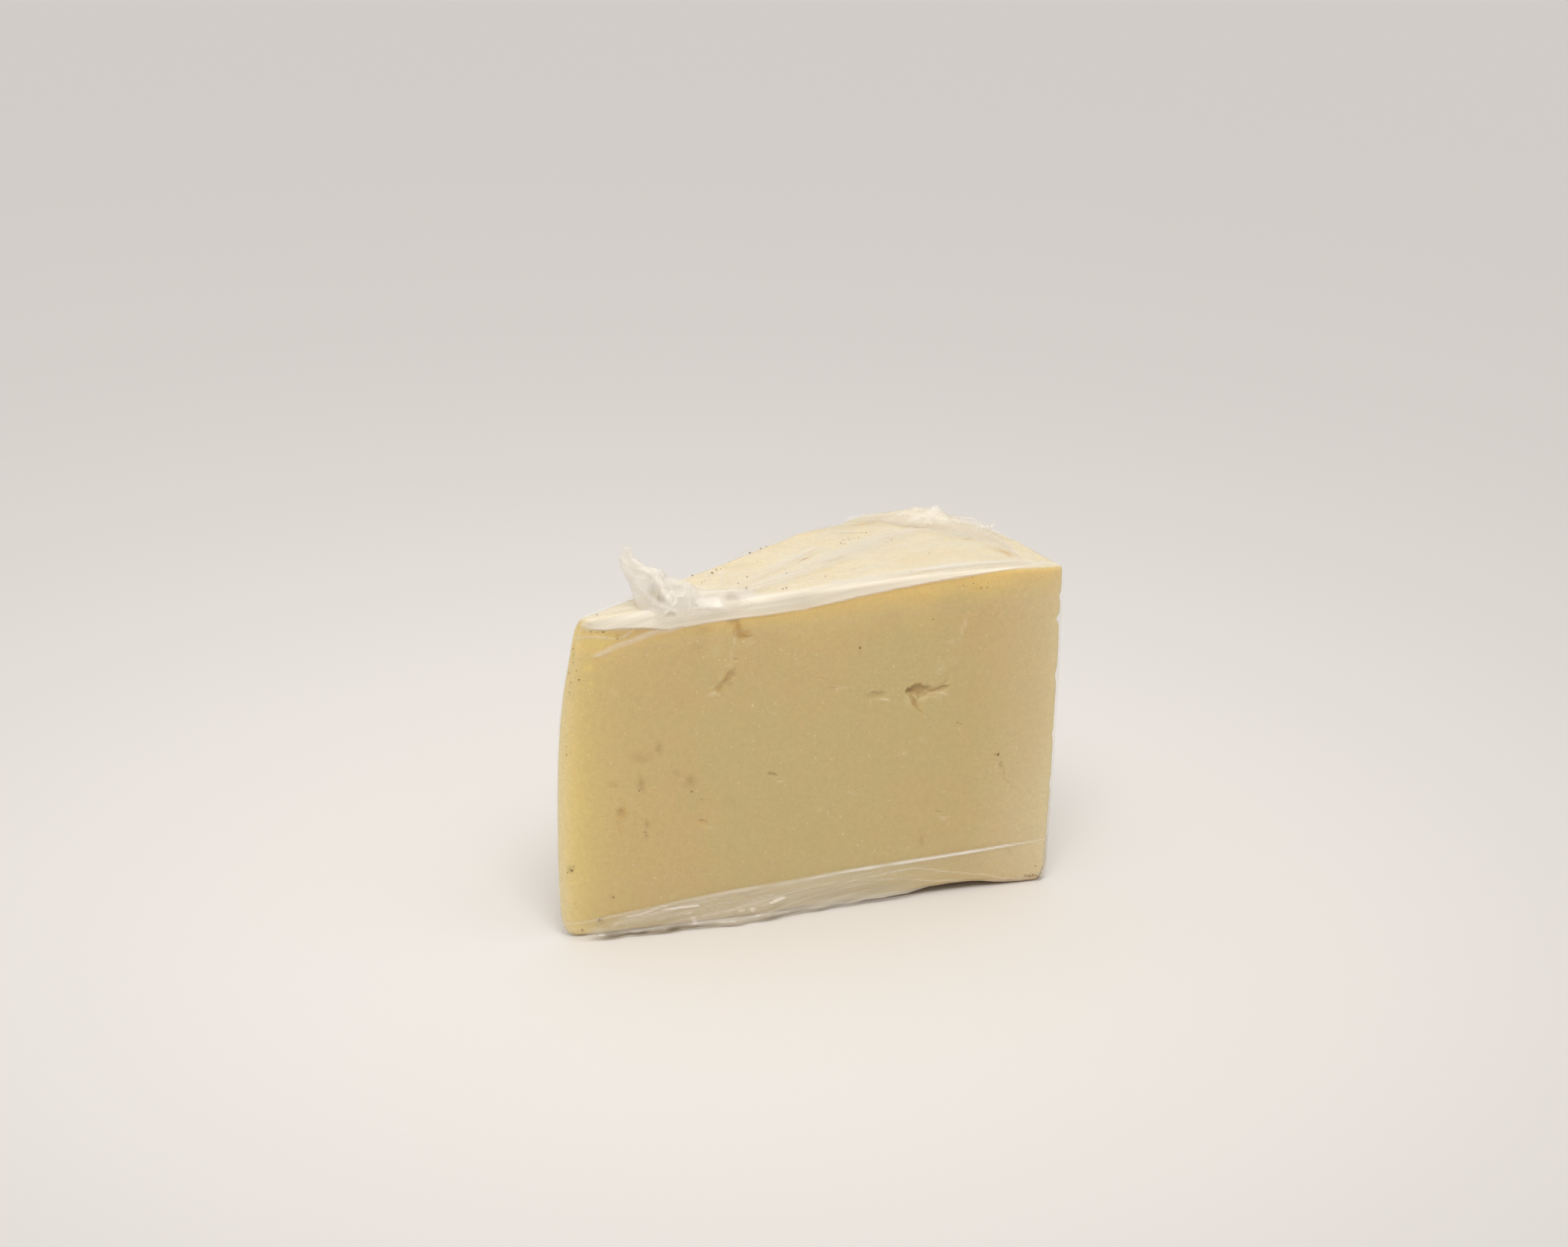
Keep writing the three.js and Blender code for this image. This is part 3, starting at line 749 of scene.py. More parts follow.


# Marks of the front cut and the top, each with its place, two half sizes and a strength
# Pale patches of the paste; the glint below crack A and the lit lower lips of the eyes are painted
# highlights
PALE_AND_LIT_MARKS = [
    (110.4, 77.0, 0.7, 2.6, 0.4), (112.0, 79.6, 0.7, 1.5, 0.4), (107.6, 74.4, 1.6, 1.2, 0.25),
    (100.2, 47.0, 1.2, 0.9, 0.25), (94.6, 43.0, 1.3, 0.8, 0.25), (56.5, 59.3, 1.0, 0.8, 0.25),
    (95.2, 58.8, 0.9, 1.6, 0.3), (106.4, 59.3, 1.8, 0.4, 0.55), (88.8, 59.5, 1.8, 0.4, 0.8),
    (103.0, 58.6, 3.0, 0.6, 0.25), (85.0, 63.0, 2.0, 0.5, 0.2), (104.6, 67.0, 1.2, 2.4, 0.2),
    (58.6, 39.2, 1.4, 0.6, 0.5), (48.1, 80.1, 0.4, 0.3, 1.0), (49.8, 79.7, 1.6, 0.9, 0.22),
    (45.2, 80.6, 0.5, 2.2, 0.35), (44.6, 77.0, 0.7, 1.6, 0.35), (43.6, 74.2, 0.8, 0.8, 0.3),
    (39.6, 65.9, 1.8, 0.5, 0.45), (41.4, 70.6, 0.5, 1.8, 0.25), (107.2, 22.8, 1.5, 0.7, 0.4),
    (39.0, 27.4, 1.6, 0.5, 0.35), (75.6, 63.9, 3.0, 0.5, 0.25), (126.6, 30.6, 1.4, 1.2, 0.35),
    (131.0, 26.0, 1.6, 1.4, 0.15), (11.4, 69.3, 1.6, 1.2, 0.2), (28.0, 9.5, 1.4, 1.0, 0.2),
    (80.0, 33.0, 1.2, 0.8, 0.2), (108.6, 68.6, 0.8, 1.6, 0.2), (123.4, 44.6, 0.8, 0.8, 0.3),
    (40.2, 78.0, 2.4, 2.0, 0.15), (62.0, 47.0, 1.4, 0.8, 0.15), (70.6, 30.0, 1.6, 1.0, 0.15),
]
# Stains of the paste and dirt by the foot corner; those in eyes C and D and in cracks A and B are painted
# shade
STAIN_AND_SHADE_MARKS = [
    (11.1, 42.9, 1.4, 0.8, 0.3), (19.4, 43.0, 1.5, 2.2, 0.6), (24.2, 52.4, 1.6, 1.5, 0.6),
    (19.6, 50.0, 3.4, 1.3, 0.35), (33.0, 41.8, 2.2, 1.8, 0.55), (29.6, 44.8, 1.0, 1.0, 0.5),
    (20.8, 30.8, 0.9, 1.0, 0.5), (20.4, 27.6, 1.0, 1.0, 0.5), (49.4, 6.4, 0.8, 0.5, 0.7),
    (-0.2, 20.2, 0.7, 0.9, 0.9), (96.4, 61.4, 1.4, 1.0, 0.45), (99.6, 60.8, 2.2, 0.7, 0.3),
    (122.6, 40.8, 0.5, 0.5, 0.9), (48.4, 81.5, 2.0, 0.7, 0.75), (44.4, 71.4, 1.0, 1.0, 0.4),
    (46.2, 84.0, 1.2, 2.0, 0.4), (47.2, 82.4, 1.8, 1.3, 0.5), (43.4, 70.0, 1.4, 1.6, 0.5),
    (41.2, 67.6, 1.3, 1.0, 0.5),
    (12.6, 85.6, 1.0, 0.8, 0.3), (134.4, 1.9, 2.6, 0.45, 1.0), (127.0, 1.6, 3.4, 0.4, 0.7),
    (127.6, 9.8, 0.8, 0.5, 0.6), (66.4, 88.6, 3.0, 1.4, 0.15), (36.4, 84.0, 3.0, 1.2, 0.3),
    (35.4, 80.4, 2.0, 1.6, 0.2), (7.6, 4.6, 0.8, 0.6, 0.8), (11.0, 10.8, 0.5, 0.5, 0.5),
    (101.2, 16.6, 0.7, 1.6, 0.35), (73.0, 64.4, 1.6, 0.4, 0.3), (124.0, 36.4, 0.7, 1.2, 0.25),
    (45.6, 82.6, 0.8, 1.2, 0.3), (30.4, 64.6, 1.2, 1.2, 0.15), (44.0, 34.0, 1.8, 1.6, 0.12),
    (13.7, 35.0, 1.5, 1.9, 0.4), (13.2, 31.6, 0.6, 1.4, 0.25), (98.4, 61.6, 3.0, 1.5, 0.35),
    (103.8, 61.2, 2.8, 0.9, 0.3), (86.0, 61.5, 2.6, 0.8, 0.25), (97.2, 57.6, 0.9, 1.6, 0.25),
]
GLOW_MARKS = [
    (4.8, 76.9, 1.6, 1.0, 0.5), (5.1, 72.5, 0.9, 0.7, 0.4), (104.0, 90.2, 10.0, 3.0, 0.25),
    (117.0, 90.6, 8.0, 2.4, 0.35), (9.0, 84.0, 5.0, 3.0, 0.35),
]
# Painted glow of light through the top edge, in the bare gap under the whitened film by the acute edge
GAP_MARKS = [
    (6.0, 86.2, 4.0, 0.9, 1.0), (11.0, 86.2, 5.0, 0.9, 1.0), (17.0, 86.1, 5.0, 0.7, 0.9),
    (21.5, 86.0, 3.0, 0.5, 0.7), (60.0, 85.4, 6.0, 1.2, 0.5), (30.0, 82.6, 5.0, 1.6, 0.3),
]
# The first three, down crack A, and the two in crack B are painted shade with light through the paste
WARM_MARKS = [
    (44.8, 87.6, 2.0, 2.8, 0.95), (46.0, 84.4, 1.7, 1.8, 1.0), (47.6, 82.2, 2.2, 1.1, 1.0),
    (13.8, 34.8, 1.7, 2.4, 0.45), (13.1, 30.4, 0.8, 1.8, 0.35), (62.0, 90.0, 3.4, 1.2, 0.2),
    (20.0, 86.6, 9.0, 1.0, 0.45), (99.4, 54.6, 1.0, 1.8, 0.25), (11.1, 43.0, 1.3, 0.7, 0.4),
    (43.0, 70.8, 1.3, 2.0, 0.3), (41.2, 67.4, 1.0, 1.4, 0.4), (97.4, 57.6, 0.8, 1.6, 0.3),
    (99.0, 88.0, 3.0, 1.0, 0.25), (36.6, 29.4, 1.6, 1.0, 0.2), (114.6, 89.4, 1.6, 1.2, 0.3),
    (4.6, 77.4, 1.0, 0.6, 0.4), (98.6, 48.0, 2.0, 5.0, 0.12),
]
# Painted shadow under the front edge of the crumple by the back corner, and a warm streak along the hairline
# crack
TOP_SHADOW_AND_WARM_MARKS = [
    (114.0, 45.4, 4.6, 0.9, 0.55), (124.0, 29.8, 4.2, 0.7, 0.5), (129.4, 15.0, 0.8, 5.2, 0.5),
    (103.0, 55.0, 5.0, 0.8, 0.4), (74.6, 27.4, 3.2, 0.35, 0.5),
]
CHEESE_CELLS = (168, 52, 108)
FINE_REACHES = (2.0, 1.0)


def refine_near(points, quads, near, rounds):
    """Splits the quads near a mark, once for each distance in `rounds`. Returns points, faces
    and outward directions."""
    shape = bmesh.new()
    for point in points:
        shape.verts.new(point)
    shape.verts.ensure_lookup_table()
    for quad in quads:
        shape.faces.new([shape.verts[i] for i in quad])
    for reach in rounds:
        shape.verts.ensure_lookup_table()
        place = np.array([vertex.co[:] for vertex in shape.verts])
        close = near(place) < reach
        shape.verts.index_update()
        edges = [edge for edge in shape.edges if close[edge.verts[0].index] and close[edge.verts[1].index]]
        bmesh.ops.subdivide_edges(shape, edges=edges, cuts=1, use_grid_fill=True)
    shape.verts.index_update()
    place = np.array([vertex.co[:] for vertex in shape.verts])
    faces = [[vertex.index for vertex in face.verts] for face in shape.faces]
    shape.normal_update()
    normals = np.array([vertex.normal[:] for vertex in shape.verts])
    shape.free()
    return place, faces, normals


def facing_masks(points, outward):
    """Shares by which each point belongs to the front cut, the back cut, the rim and the top."""
    level = 1 - smoothstep(np.abs(outward[:, 2]), 0.4, 0.8)
    back_normal = np.array([-math.sin(WEDGE_ANGLE), math.cos(WEDGE_ANGLE), 0])
    front = smoothstep(-outward[:, 1], 0.6, 0.9) * level
    back = smoothstep(outward @ back_normal, 0.75, 0.95) * level
    rim = smoothstep(outward[:, 0], 0.5, 0.85) * smoothstep(points[:, 0], *RIM_FROM_X) * level
    top = smoothstep(outward[:, 2], 0.5, 0.9)
    return front, back, rim, top


def foot_corner_cut(points):
    """Moves points outside the worn foot corner's slanting plane back onto it."""
    corner = np.array([rim_x(0.0), 0, 0])
    normal = np.array([1 / FOOT_CORNER_REACH, -1 / FOOT_CORNER_DEPTH, -1 / FOOT_CORNER_RISE])
    offset = (points - corner) @ normal + 1
    flaked = offset + FOOT_CORNER_ROUGHNESS * noise(points, 1.6, 61) * (offset > -0.3)
    over = np.maximum(flaked, 0)
    return points - over[:, None] * normal / (normal @ normal)


def near_marks(points):
    """Distance of each point from the nearest crack or eye."""
    front_gap = np.minimum(cleft_reach(points[:, [0, 2]], FRONT_CLEFTS),
                           eye_reach(points[:, [0, 2]], FRONT_EYES))
    front = np.where(points[:, 1] < CUT_SKIN, front_gap, np.inf)
    back_gap = np.abs(from_back_cut(*points.T))
    back = np.where(back_gap < CUT_SKIN, cleft_reach(back_places(points), BACK_CLEFTS), np.inf)
    return np.minimum(front, back)


def carve(points, outward, masks, cleft):
    """The relief: gentle on the cuts, rougher on the top and the rim, torn inside the cracks,
    with chips along the rim's edge and a worn foot corner."""
    front, back, rim, top = masks
    cuts = np.clip(front + back, 0, 1)
    relief = 0.16 * rough_noise(points, 17, 3) * cuts
    relief += 0.05 * rough_noise(points, 2.4, 5) * cuts
    relief += (0.42 * rough_noise(points, 13, 7) + 0.12 * rough_noise(points, 2.8, 9)) * (top + rim)
    relief += 0.12 * rough_noise(points, 1.1, 11) * smoothstep(cleft, 0.3, 1.2)
    relief = np.where(outward[:, 2] < -0.5, 0.0, relief - RIND_SUNK * top - RIND_SUNK * rim)
    moved = points + outward * (relief - cleft)[:, None]
    near_edge = smoothstep(points[:, 0], rim_x(points[:, 2]) - 6, rim_x(points[:, 2]) - 1)
    for height, reach, size in RIM_CHIPS:
        chip = reach * np.exp(-((points[:, 2] - height) / size) ** 2) * np.exp(-(points[:, 1] / 4) ** 2)
        moved[:, 0] -= chip * near_edge
    moved = foot_corner_cut(moved)
    moved[:, 2] = np.maximum(moved[:, 2], FLOOR_CLEARANCE)
    return moved


def cheese_fields(points, moved, outward, masks, cleft):
    """Colours: painted glow, yellow where light comes through the thin edges and under the film's
    band, pale rind on the top and the rim, and the marks of the cuts, some of them painted shade
    and highlights."""
    front, _, rim, top = masks
    x, y, z = points.T
    place = points[:, [0, 2]]
    from_tip = np.abs(x - tip_x(z))
    from_top = top_z(x) - z
    from_rim = rim_x(z) - wheel_radius(points) - apex_x(z)
    over_band = z - band_low(x)
    over_fold = smoothstep(z - white_fold(x), -0.2, 0.8)
    by_tip = x < WHITE_FOLD_END
    drift = 1 + 0.35 * noise(points, 9, 13)

    # Painted light through the edges, and the painted band glow under the film's band
    band_glow_depth = BAND_GLOW_DEPTH + BAND_GLOW_DEEPER * smoothstep(x, *BAND_GLOW_DEEPER_X)
    near_band = front * fade(-over_band, band_glow_depth * drift)
    band_glow = near_band * (0.45 + 0.5 * smoothstep(x, 32, 46)) * (1 - over_fold * by_tip)
    band_glow *= fade(over_band, 1.2)
    band_glow = np.maximum(band_glow, 0.4 * spots(place, GAP_MARKS, 70) * front)
    band_glow *= 1 - front * spots(place, WARM_MARKS[:3], 75)
    low_down = 0.66 + 0.34 * bump(np.abs(z - 34), 52)
    glow = np.maximum.reduce([
        0.95 * fade(from_tip, TIP_GLOW) * low_down,
        (1 - front) * 0.5 * fade(from_top, TOP_GLOW * drift),
        0.16 * near_band * smoothstep(x, 80, 110),
        0.25 * fade(from_rim, RIM_GLOW),
    ])
    glow = np.clip(glow + spots(place, GLOW_MARKS, 71) * front, 0, 1)

    # Rind on the top and the wheel's outer face
    bearing = np.arctan2(y, x - apex_x(z))
    wheel_face = outward[:, 0] * np.cos(bearing) + outward[:, 1] * np.sin(bearing)
    wheel_face += 0.07 * noise(points, 3, 83)
    rind_edge = np.where(y > 20, smoothstep(wheel_face, 0.42, 0.56), rim)
    rind_edge *= smoothstep(x, *RIM_FROM_X)
    chipped = (moved[:, 0] - x < -0.6) & (y < 20)
    rind = np.clip(top + rind_edge * (1 - 0.8 * chipped), 0, 1)

    # Marks, and paste that pales towards its worn edges and the rim
    low_right = smoothstep(x, 104, 134) * fall(z, 16, 52)
    paler = 0.24 * smoothstep(x, 112, 134) + 0.16 * low_right
    paler += 0.5 * fade(from_rim, RIM_PALER)
    worn_edge = np.where(by_tip, 0.8 * over_fold, 0.65 * smoothstep(over_band, 0.2, 1.6))
    pale = np.maximum.reduce([
        spots(place, PALE_AND_LIT_MARKS, 73) * front,
        0.7 * front * fade(from_rim, RIM_PALE),
        worn_edge * front,
        0.8 * fade(from_tip, TIP_PALE) * (z < TIP_PALE_TOP),
        paler * front * (1 - near_band),
    ])
    # Warm colour: patches of the paste, painted shade with light through the paste in the cracks, and
    # painted shadow under the crumple on the top
    warm = np.maximum.reduce([
        spots(place, WARM_MARKS, 75) * front,
        0.6 * smoothstep(cleft_depth(place, WARM_CLEFTS, 31), *CLEFT_WARM_DEPTHS) * front,
        spots(points[:, :2], TOP_SHADOW_AND_WARM_MARKS, 77) * top,
    ])
    pink = 0.35 + 0.5 * noise(points, 24, 81)
    pink += 0.45 * fall(x, 22, 46) + 0.3 * smoothstep(z, 66, 84)
    pink += 0.4 * smoothstep(x, 108, 130)
    under = outward[:, 2] < -0.5
    return {
        "glow": glow * (1 - rind),
        "rind": rind,
        "pale": pale,
        "warm": warm,
        # Painted shade: darker deeper in the cracks and eyes, and on the underside by the front cut
        "hollow_shade": np.maximum(0.5 * smoothstep(cleft, *CLEFT_SHADE_DEPTHS), 0.8 * under * (y < 24)),
        "band_glow": band_glow * (1 - rind),
        "pink": np.clip(pink, 0, 1),
        # Stains, with painted shade in the eyes and cracks
        "stain_and_shade": spots(place, STAIN_AND_SHADE_MARKS, 79) * front,
    }


def make_cheese(material):
    heights = edge_lines(CHEESE_CELLS[2], 3, CUT_EDGE_ROUND / TOP_HEIGHT)
    points, quads, _ = wedge_grid(CHEESE_CELLS, UPRIGHT_SIDES + (UNDERSIDE, TOP_SIDE), heights)
    points, faces, outward = refine_near(points, quads, near_marks, FINE_REACHES)
    masks = facing_masks(points, outward)
    place = points[:, [0, 2]]
    front_cleft = np.maximum(cleft_depth(place, FRONT_CLEFTS, 31), eye_depth(place, FRONT_EYES, 33))
    cleft = front_cleft * masks[0] + cleft_depth(back_places(points), BACK_CLEFTS, 47) * masks[1]
    moved = carve(points, outward, masks, cleft)
    fields = cheese_fields(points, moved, outward, masks, cleft)
    piece = make_piece("cheese_paste_wedge", moved, faces, material, fields)
    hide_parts("cheese")


# Film over the wedge, and the knot's middle on the top
KNOT = (32.0, 2.0)


def unfold(points, outward):
    """Places on the film over the top, with its overhang on the sides laid out flat."""
    drop = np.maximum(top_z(points[:, 0]) - points[:, 2], 0)
    return points[:, :2] + unit(outward[:, :2], 1e-6) * drop[:, None]


def lines_on(places, lines, seed):
    """Haze and height of fold lines: each has its run, half width, haze and height."""
    places = places + 0.25 * wander(places, 4.0, seed)
    haze = np.zeros(len(places))
    height = np.zeros(len(places))
    for run, half, share, rise in lines:
        distance, index = line_distance(places, run)
        ends = np.minimum(index, len(run) - 1 - index)
        taper = 0.35 + 0.65 * smoothstep(ends, 0, 0.6)
        shape = bump(distance, half * taper)
        haze = np.maximum(haze, share * shape)
        height = np.maximum(height, rise * shape * taper)
    return haze, height


# Edges of the film along the front cut: places along it, and what the edge is there
BAND_LOW = ([0, 7.6, 12.1, 20.5, 30.5, 36.5, 47.6, 56.2, 64.9, 80.3, 96, 106.5, 127.7, 141],
            [84.4, 80.9, 82.0, 84.0, 85.9, 86.6, 87.1, 87.4, 87.9, 90.2, 91.9, 93.0, 94.0, 94.2])
BAND_INNER = ([0, 20, 40, 56, 64.7, 82, 99, 115.9, 130.2, 137, 141],
              [0.5, 1.5, 2.5, 1.4, 0.9, 2.6, 5.4, 7.6, 8.0, 2, 0])
WHITE_FOLD = ([0, 2, 4.7, 9.3, 14, 19.8, 23, 27, 31],
              [89.2, 88.8, 87.8, 87.2, 87.2, 86.8, 86.3, 85.7, 86.1])
WHITE_FOLD_END = 31
APRON_HIGH = ([-4, 1.5, 15.6, 23.8, 30.6, 45.7, 57.2, 63.7, 77.2, 90.8, 104.6, 118.4, 139, 146],
              [4.4, 4.6, 5.7, 6.4, 7.2, 8.4, 8.9, 9.2, 10.2, 10.8, 11.3, 11.9, 12.9, 13.2])


def band_low(x):
    """Height of the lower edge of the film's rolled band on the front cut."""
    return np.interp(x, *BAND_LOW)


def band_inner(x):
    """How far the same band reaches inwards over the top."""
    return np.interp(x, *BAND_INNER)


def white_fold(x):
    """Height of the lower edge of the whitened film by the acute edge, above a bare gap."""
    return np.interp(x, *WHITE_FOLD)


# Folds of the film, each with its run, half width, haze and height
TOP_LINES = [
    ([(50, 6), (62, 11.6), (78, 20.0), (92, 27.4), (102, 34.0), (112, 40.2)], 2.2, 0.26, 0.02),
    ([(50, 8), (64, 16.2), (80, 26.0), (94, 35.0), (104, 41.0), (112, 44.0)], 2.0, 0.26, 0.02),
    ([(46, 8), (60.3, 19.2), (68.3, 25.2), (79.8, 35.6)], 2.6, 0.24, 0.02),
    ([(88, 49.1), (92.4, 46.2), (96.9, 44.3)], 1.0, 0.5, 0.02),
    ([(44, 10), (47, 16), (49, 24)], 2.0, 0.2, 0.03),
    ([(36, 10), (33, 14), (31, 18)], 1.8, 0.2, 0.03),
    ([(96, 3.4), (104, 4.8), (112, 5.8), (120, 6.0), (130, 5.0), (138, 2.0)], 2.2, 0.5, 0.03),
    ([(66, 0.2), (80, 1.6), (98, 3.6)], 1.8, 0.3, 0.02),
    ([(98, 1.0), (110, 2.0), (124, 2.2), (138, 1.0)], 1.2, 0.3, 0.02),
    ([(131.7, 9.4), (131.5, 19.2), (131.7, 28.0), (130.4, 34.0), (126.4, 39.4)], 1.8, 0.3, 0.03),
    ([(122, 38), (124.5, 32.3), (128.4, 26.0), (131.2, 20)], 1.8, 0.26, 0.03),
    ([(119.5, 38.3), (116, 30), (109, 22), (98, 15), (82, 9)], 1.8, 0.12, 0.02),
    ([(30, 5), (22, 4.2), (12, 2.6), (3, 1.6)], 2.0, 0.22, 0.02),
    ([(28, 9), (19, 7.0), (9, 4.2), (1, 2.6)], 1.8, 0.16, 0.02),
    ([(56, 35.6), (64, 40.6), (72, 45.6), (80, 50.4)], 1.8, 0.3, 0.4),
]
TOP_RIBBONS = [
    ([(48, 5), (62, 12.0), (78, 21.6), (92, 30.2), (103, 37.2), (114, 41.6)], 7.4, 0.38, 0),
    ([(46, 7), (60.3, 18.2), (79.8, 34.6)], 5.0, 0.3, 0),
    ([(112, 43), (121, 37), (128, 27), (131, 14)], 6.4, 0.34, 0),
    ([(31, 6), (22, 4), (10, 2), (2, 1.4)], 5.0, 0.3, 0),
    ([(118, 42), (106, 52), (94, 59), (84, 57)], 5.0, 0.26, 0),
    ([(60, -0.6), (84, 1.6), (104, 4.0), (124, 4.6), (138, 1.0)], 5.4, 0.38, 0),
]
FRONT_BAND_LINES = [
    ([(6.0, 80.2), (8.6, 81.0), (12.1, 82.4), (20.5, 84.5), (30.5, 86.4), (36.5, 87.1), (47.6, 87.6)],
     1.3, 0.34, 0.02),
    ([(47.6, 87.5), (64.9, 88.3), (80.3, 90.6), (96, 92.3), (106.5, 93.3), (127.7, 94.3)], 0.9, 0.6, 0.02),
    ([(0.5, 84.4), (2.2, 85.5), (3.7, 85.7), (7.7, 85.2), (12.4, 84.4)], 0.9, 0.2, 0.02),
    ([(2, 89.6), (4.7, 88.4), (7.7, 87.9), (12.6, 87.8), (17.5, 87.5), (22.5, 87.2), (28, 86.8)],
     1.7, 0.3, 0.02),
    ([(13.6, 84.4), (15.6, 85.6), (17.4, 87.0)], 0.7, 0.25, 0.02),
    ([(14, 83.4), (24, 85.4), (33, 87.2), (44, 88.6), (58, 89.9)], 1.3, 0.4, 0.02),
    ([(36, 90.6), (46, 90.8), (58, 91.0), (72, 91.6)], 1.8, 0.36, 0.02),
    ([(38, 88.8), (52, 89.6), (66, 90.6), (82, 91.8), (98, 93.2)], 1.5, 0.5, 0.02),
]
# The film is smooth under the knot: an oval's place and half sizes
KNOT_FOOT = (34.0, 3.5, 17.0, 6.0)
# Where the rolled band comes in and ends along the front cut, and where the veil by the acute
# edge ends
BAND_X = (0, 8, 132, 141)
VEIL_END = 36
# A bare strip of the top by the rim
BARE_RIM_X = (131.5, 133.5)
# Folds that run out from the knot: pairs of them, how high they are and how far they reach
KNOT_FOLDS = 7
KNOT_FOLD_HEIGHT = 0.22
KNOT_FOLD_REACH = 30


def cap_haze(points, outward):
    """Fields and height of the film over the top and its overhang."""
    front, back, rim, top = facing_masks(points, outward)
    sheet = unfold(points, outward)
    x, y, z = points.T
    haze, height = lines_on(sheet, TOP_LINES, 83)
    front_haze, front_height = lines_on(points[:, [0, 2]], FRONT_BAND_LINES, 85)
    haze = np.maximum(haze * (1 - front), front_haze * front)
    height = np.maximum(height * (1 - front), front_height * front)

    # The rolled band along the top front edge, and the thin veil by the acute edge
    low = band_low(x)
    floor_line = np.where(x < WHITE_FOLD_END, white_fold(x), low)
    in_band = smoothstep(z, floor_line - 0.3, floor_line + 0.3)
    in_band *= fall(y, band_inner(x) - 2.4, band_inner(x) + 2.0)
    in_band *= window(x, *BAND_X)
    edge_zone = np.clip(front + top + (outward[:, 1] < -0.3), 0, 1)
    # The band is hazier on its upright face than on the top: painted light for the face that gets less light
    upright = smoothstep(-outward[:, 1], 0.35, 0.95)
    band = (0.2 + 0.8 * upright) * in_band * edge_zone
    veil = 0.2 * smoothstep(z - white_fold(x), -0.3, 0.5) * (x < VEIL_END) * smoothstep(x, -1, 8)
    veil *= np.clip(front + top, 0, 1)
    veil *= 1 + 0.3 * noise(points, 4, 88)

    # Wide soft folds, the gather round the knot, the bare strip by the rim and the lower hem
    wide, _ = lines_on(sheet, TOP_RIBBONS, 87)
    bearing = np.arctan2(sheet[:, 1] - KNOT[1], sheet[:, 0] - KNOT[0])
    distance = np.hypot(sheet[:, 0] - KNOT[0], sheet[:, 1] - KNOT[1])
    near_knot = 0.42 * bump(distance, 22) * np.clip(smoothstep(outward[:, 2], 0.7, 0.97) + in_band, 0, 1)
    bare_rim = smoothstep(x, *BARE_RIM_X) * top
    haze = np.maximum.reduce([haze, band, veil, wide * (top + 0.5 * (1 - top)), near_knot, 0.05 * top])
    haze *= 1 - 0.85 * bare_rim * (y > 3)
    dropped = top_z(x) - back_wear(x, y) - z
    hem = fall(dropped, CAP_DROP - 7, CAP_DROP - 1.5)
    haze *= np.where(front > 0.5, 1, hem)
    height *= 1 - smoothstep(bump(oval(points, *KNOT_FOOT), 1.0), 0, 0.3)

    # Tight fan of small folds round the knot
    fan = zigzag(bearing * KNOT_FOLDS / math.pi + 0.2 * noise(points, 6, 89))
    folds = KNOT_FOLD_HEIGHT * (1 - fan) * bump(distance, KNOT_FOLD_REACH)
    height += folds * smoothstep(distance, 4, 14) * top
    along_edge = np.column_stack([x * 0.025, (z - low) * 0.55 + y * 0.3, np.zeros(len(x))])
    from_knot = np.column_stack([9 * np.cos(bearing), 9 * np.sin(bearing), 1 + distance * 0.025])
    by_front = np.clip(front + bump(y - band_inner(x), 2.5), 0, 1)[:, None]
    flow = np.where(by_front > 0.5, along_edge, from_knot)
    wisp = 0.1 * in_band * edge_zone + 0.1 * top * (1 - bare_rim) + 0.16 * bump(distance, 34) * top
    wisp += 0.2 * (back + rim) * hem * smoothstep(dropped, 1.5, 5)
    fields = {"haze": haze, "flow": flow, "wisp": np.clip(wisp, 0, 0.6), "tint": upright * in_band}
    return fields, height


CAP_CELLS = (340, 140, 32)


def make_cap(material):
    """Film over the top, with its overhang on all four sides."""
    heights = even_heights(CAP_CELLS, 1 - CAP_DROP / TOP_HEIGHT, 1)
    points, quads, outward = wedge_grid(CAP_CELLS, UPRIGHT_SIDES + (TOP_SIDE,), heights, FILM_TOP_GAP, 4)
    fields, height = cap_haze(points, outward)
    bow = 0.14 * noise(points, 9, 91)
    points = points + outward * (height + bow + 0.1)[:, None]
    return make_piece("film_cap", points, quads, material, fields)


APRON_CELLS = (280, 90, 46)


def apron_high(x):
    """Height of the bright fold that ends the film's apron on the front cut."""
    return np.interp(x, *APRON_HIGH)


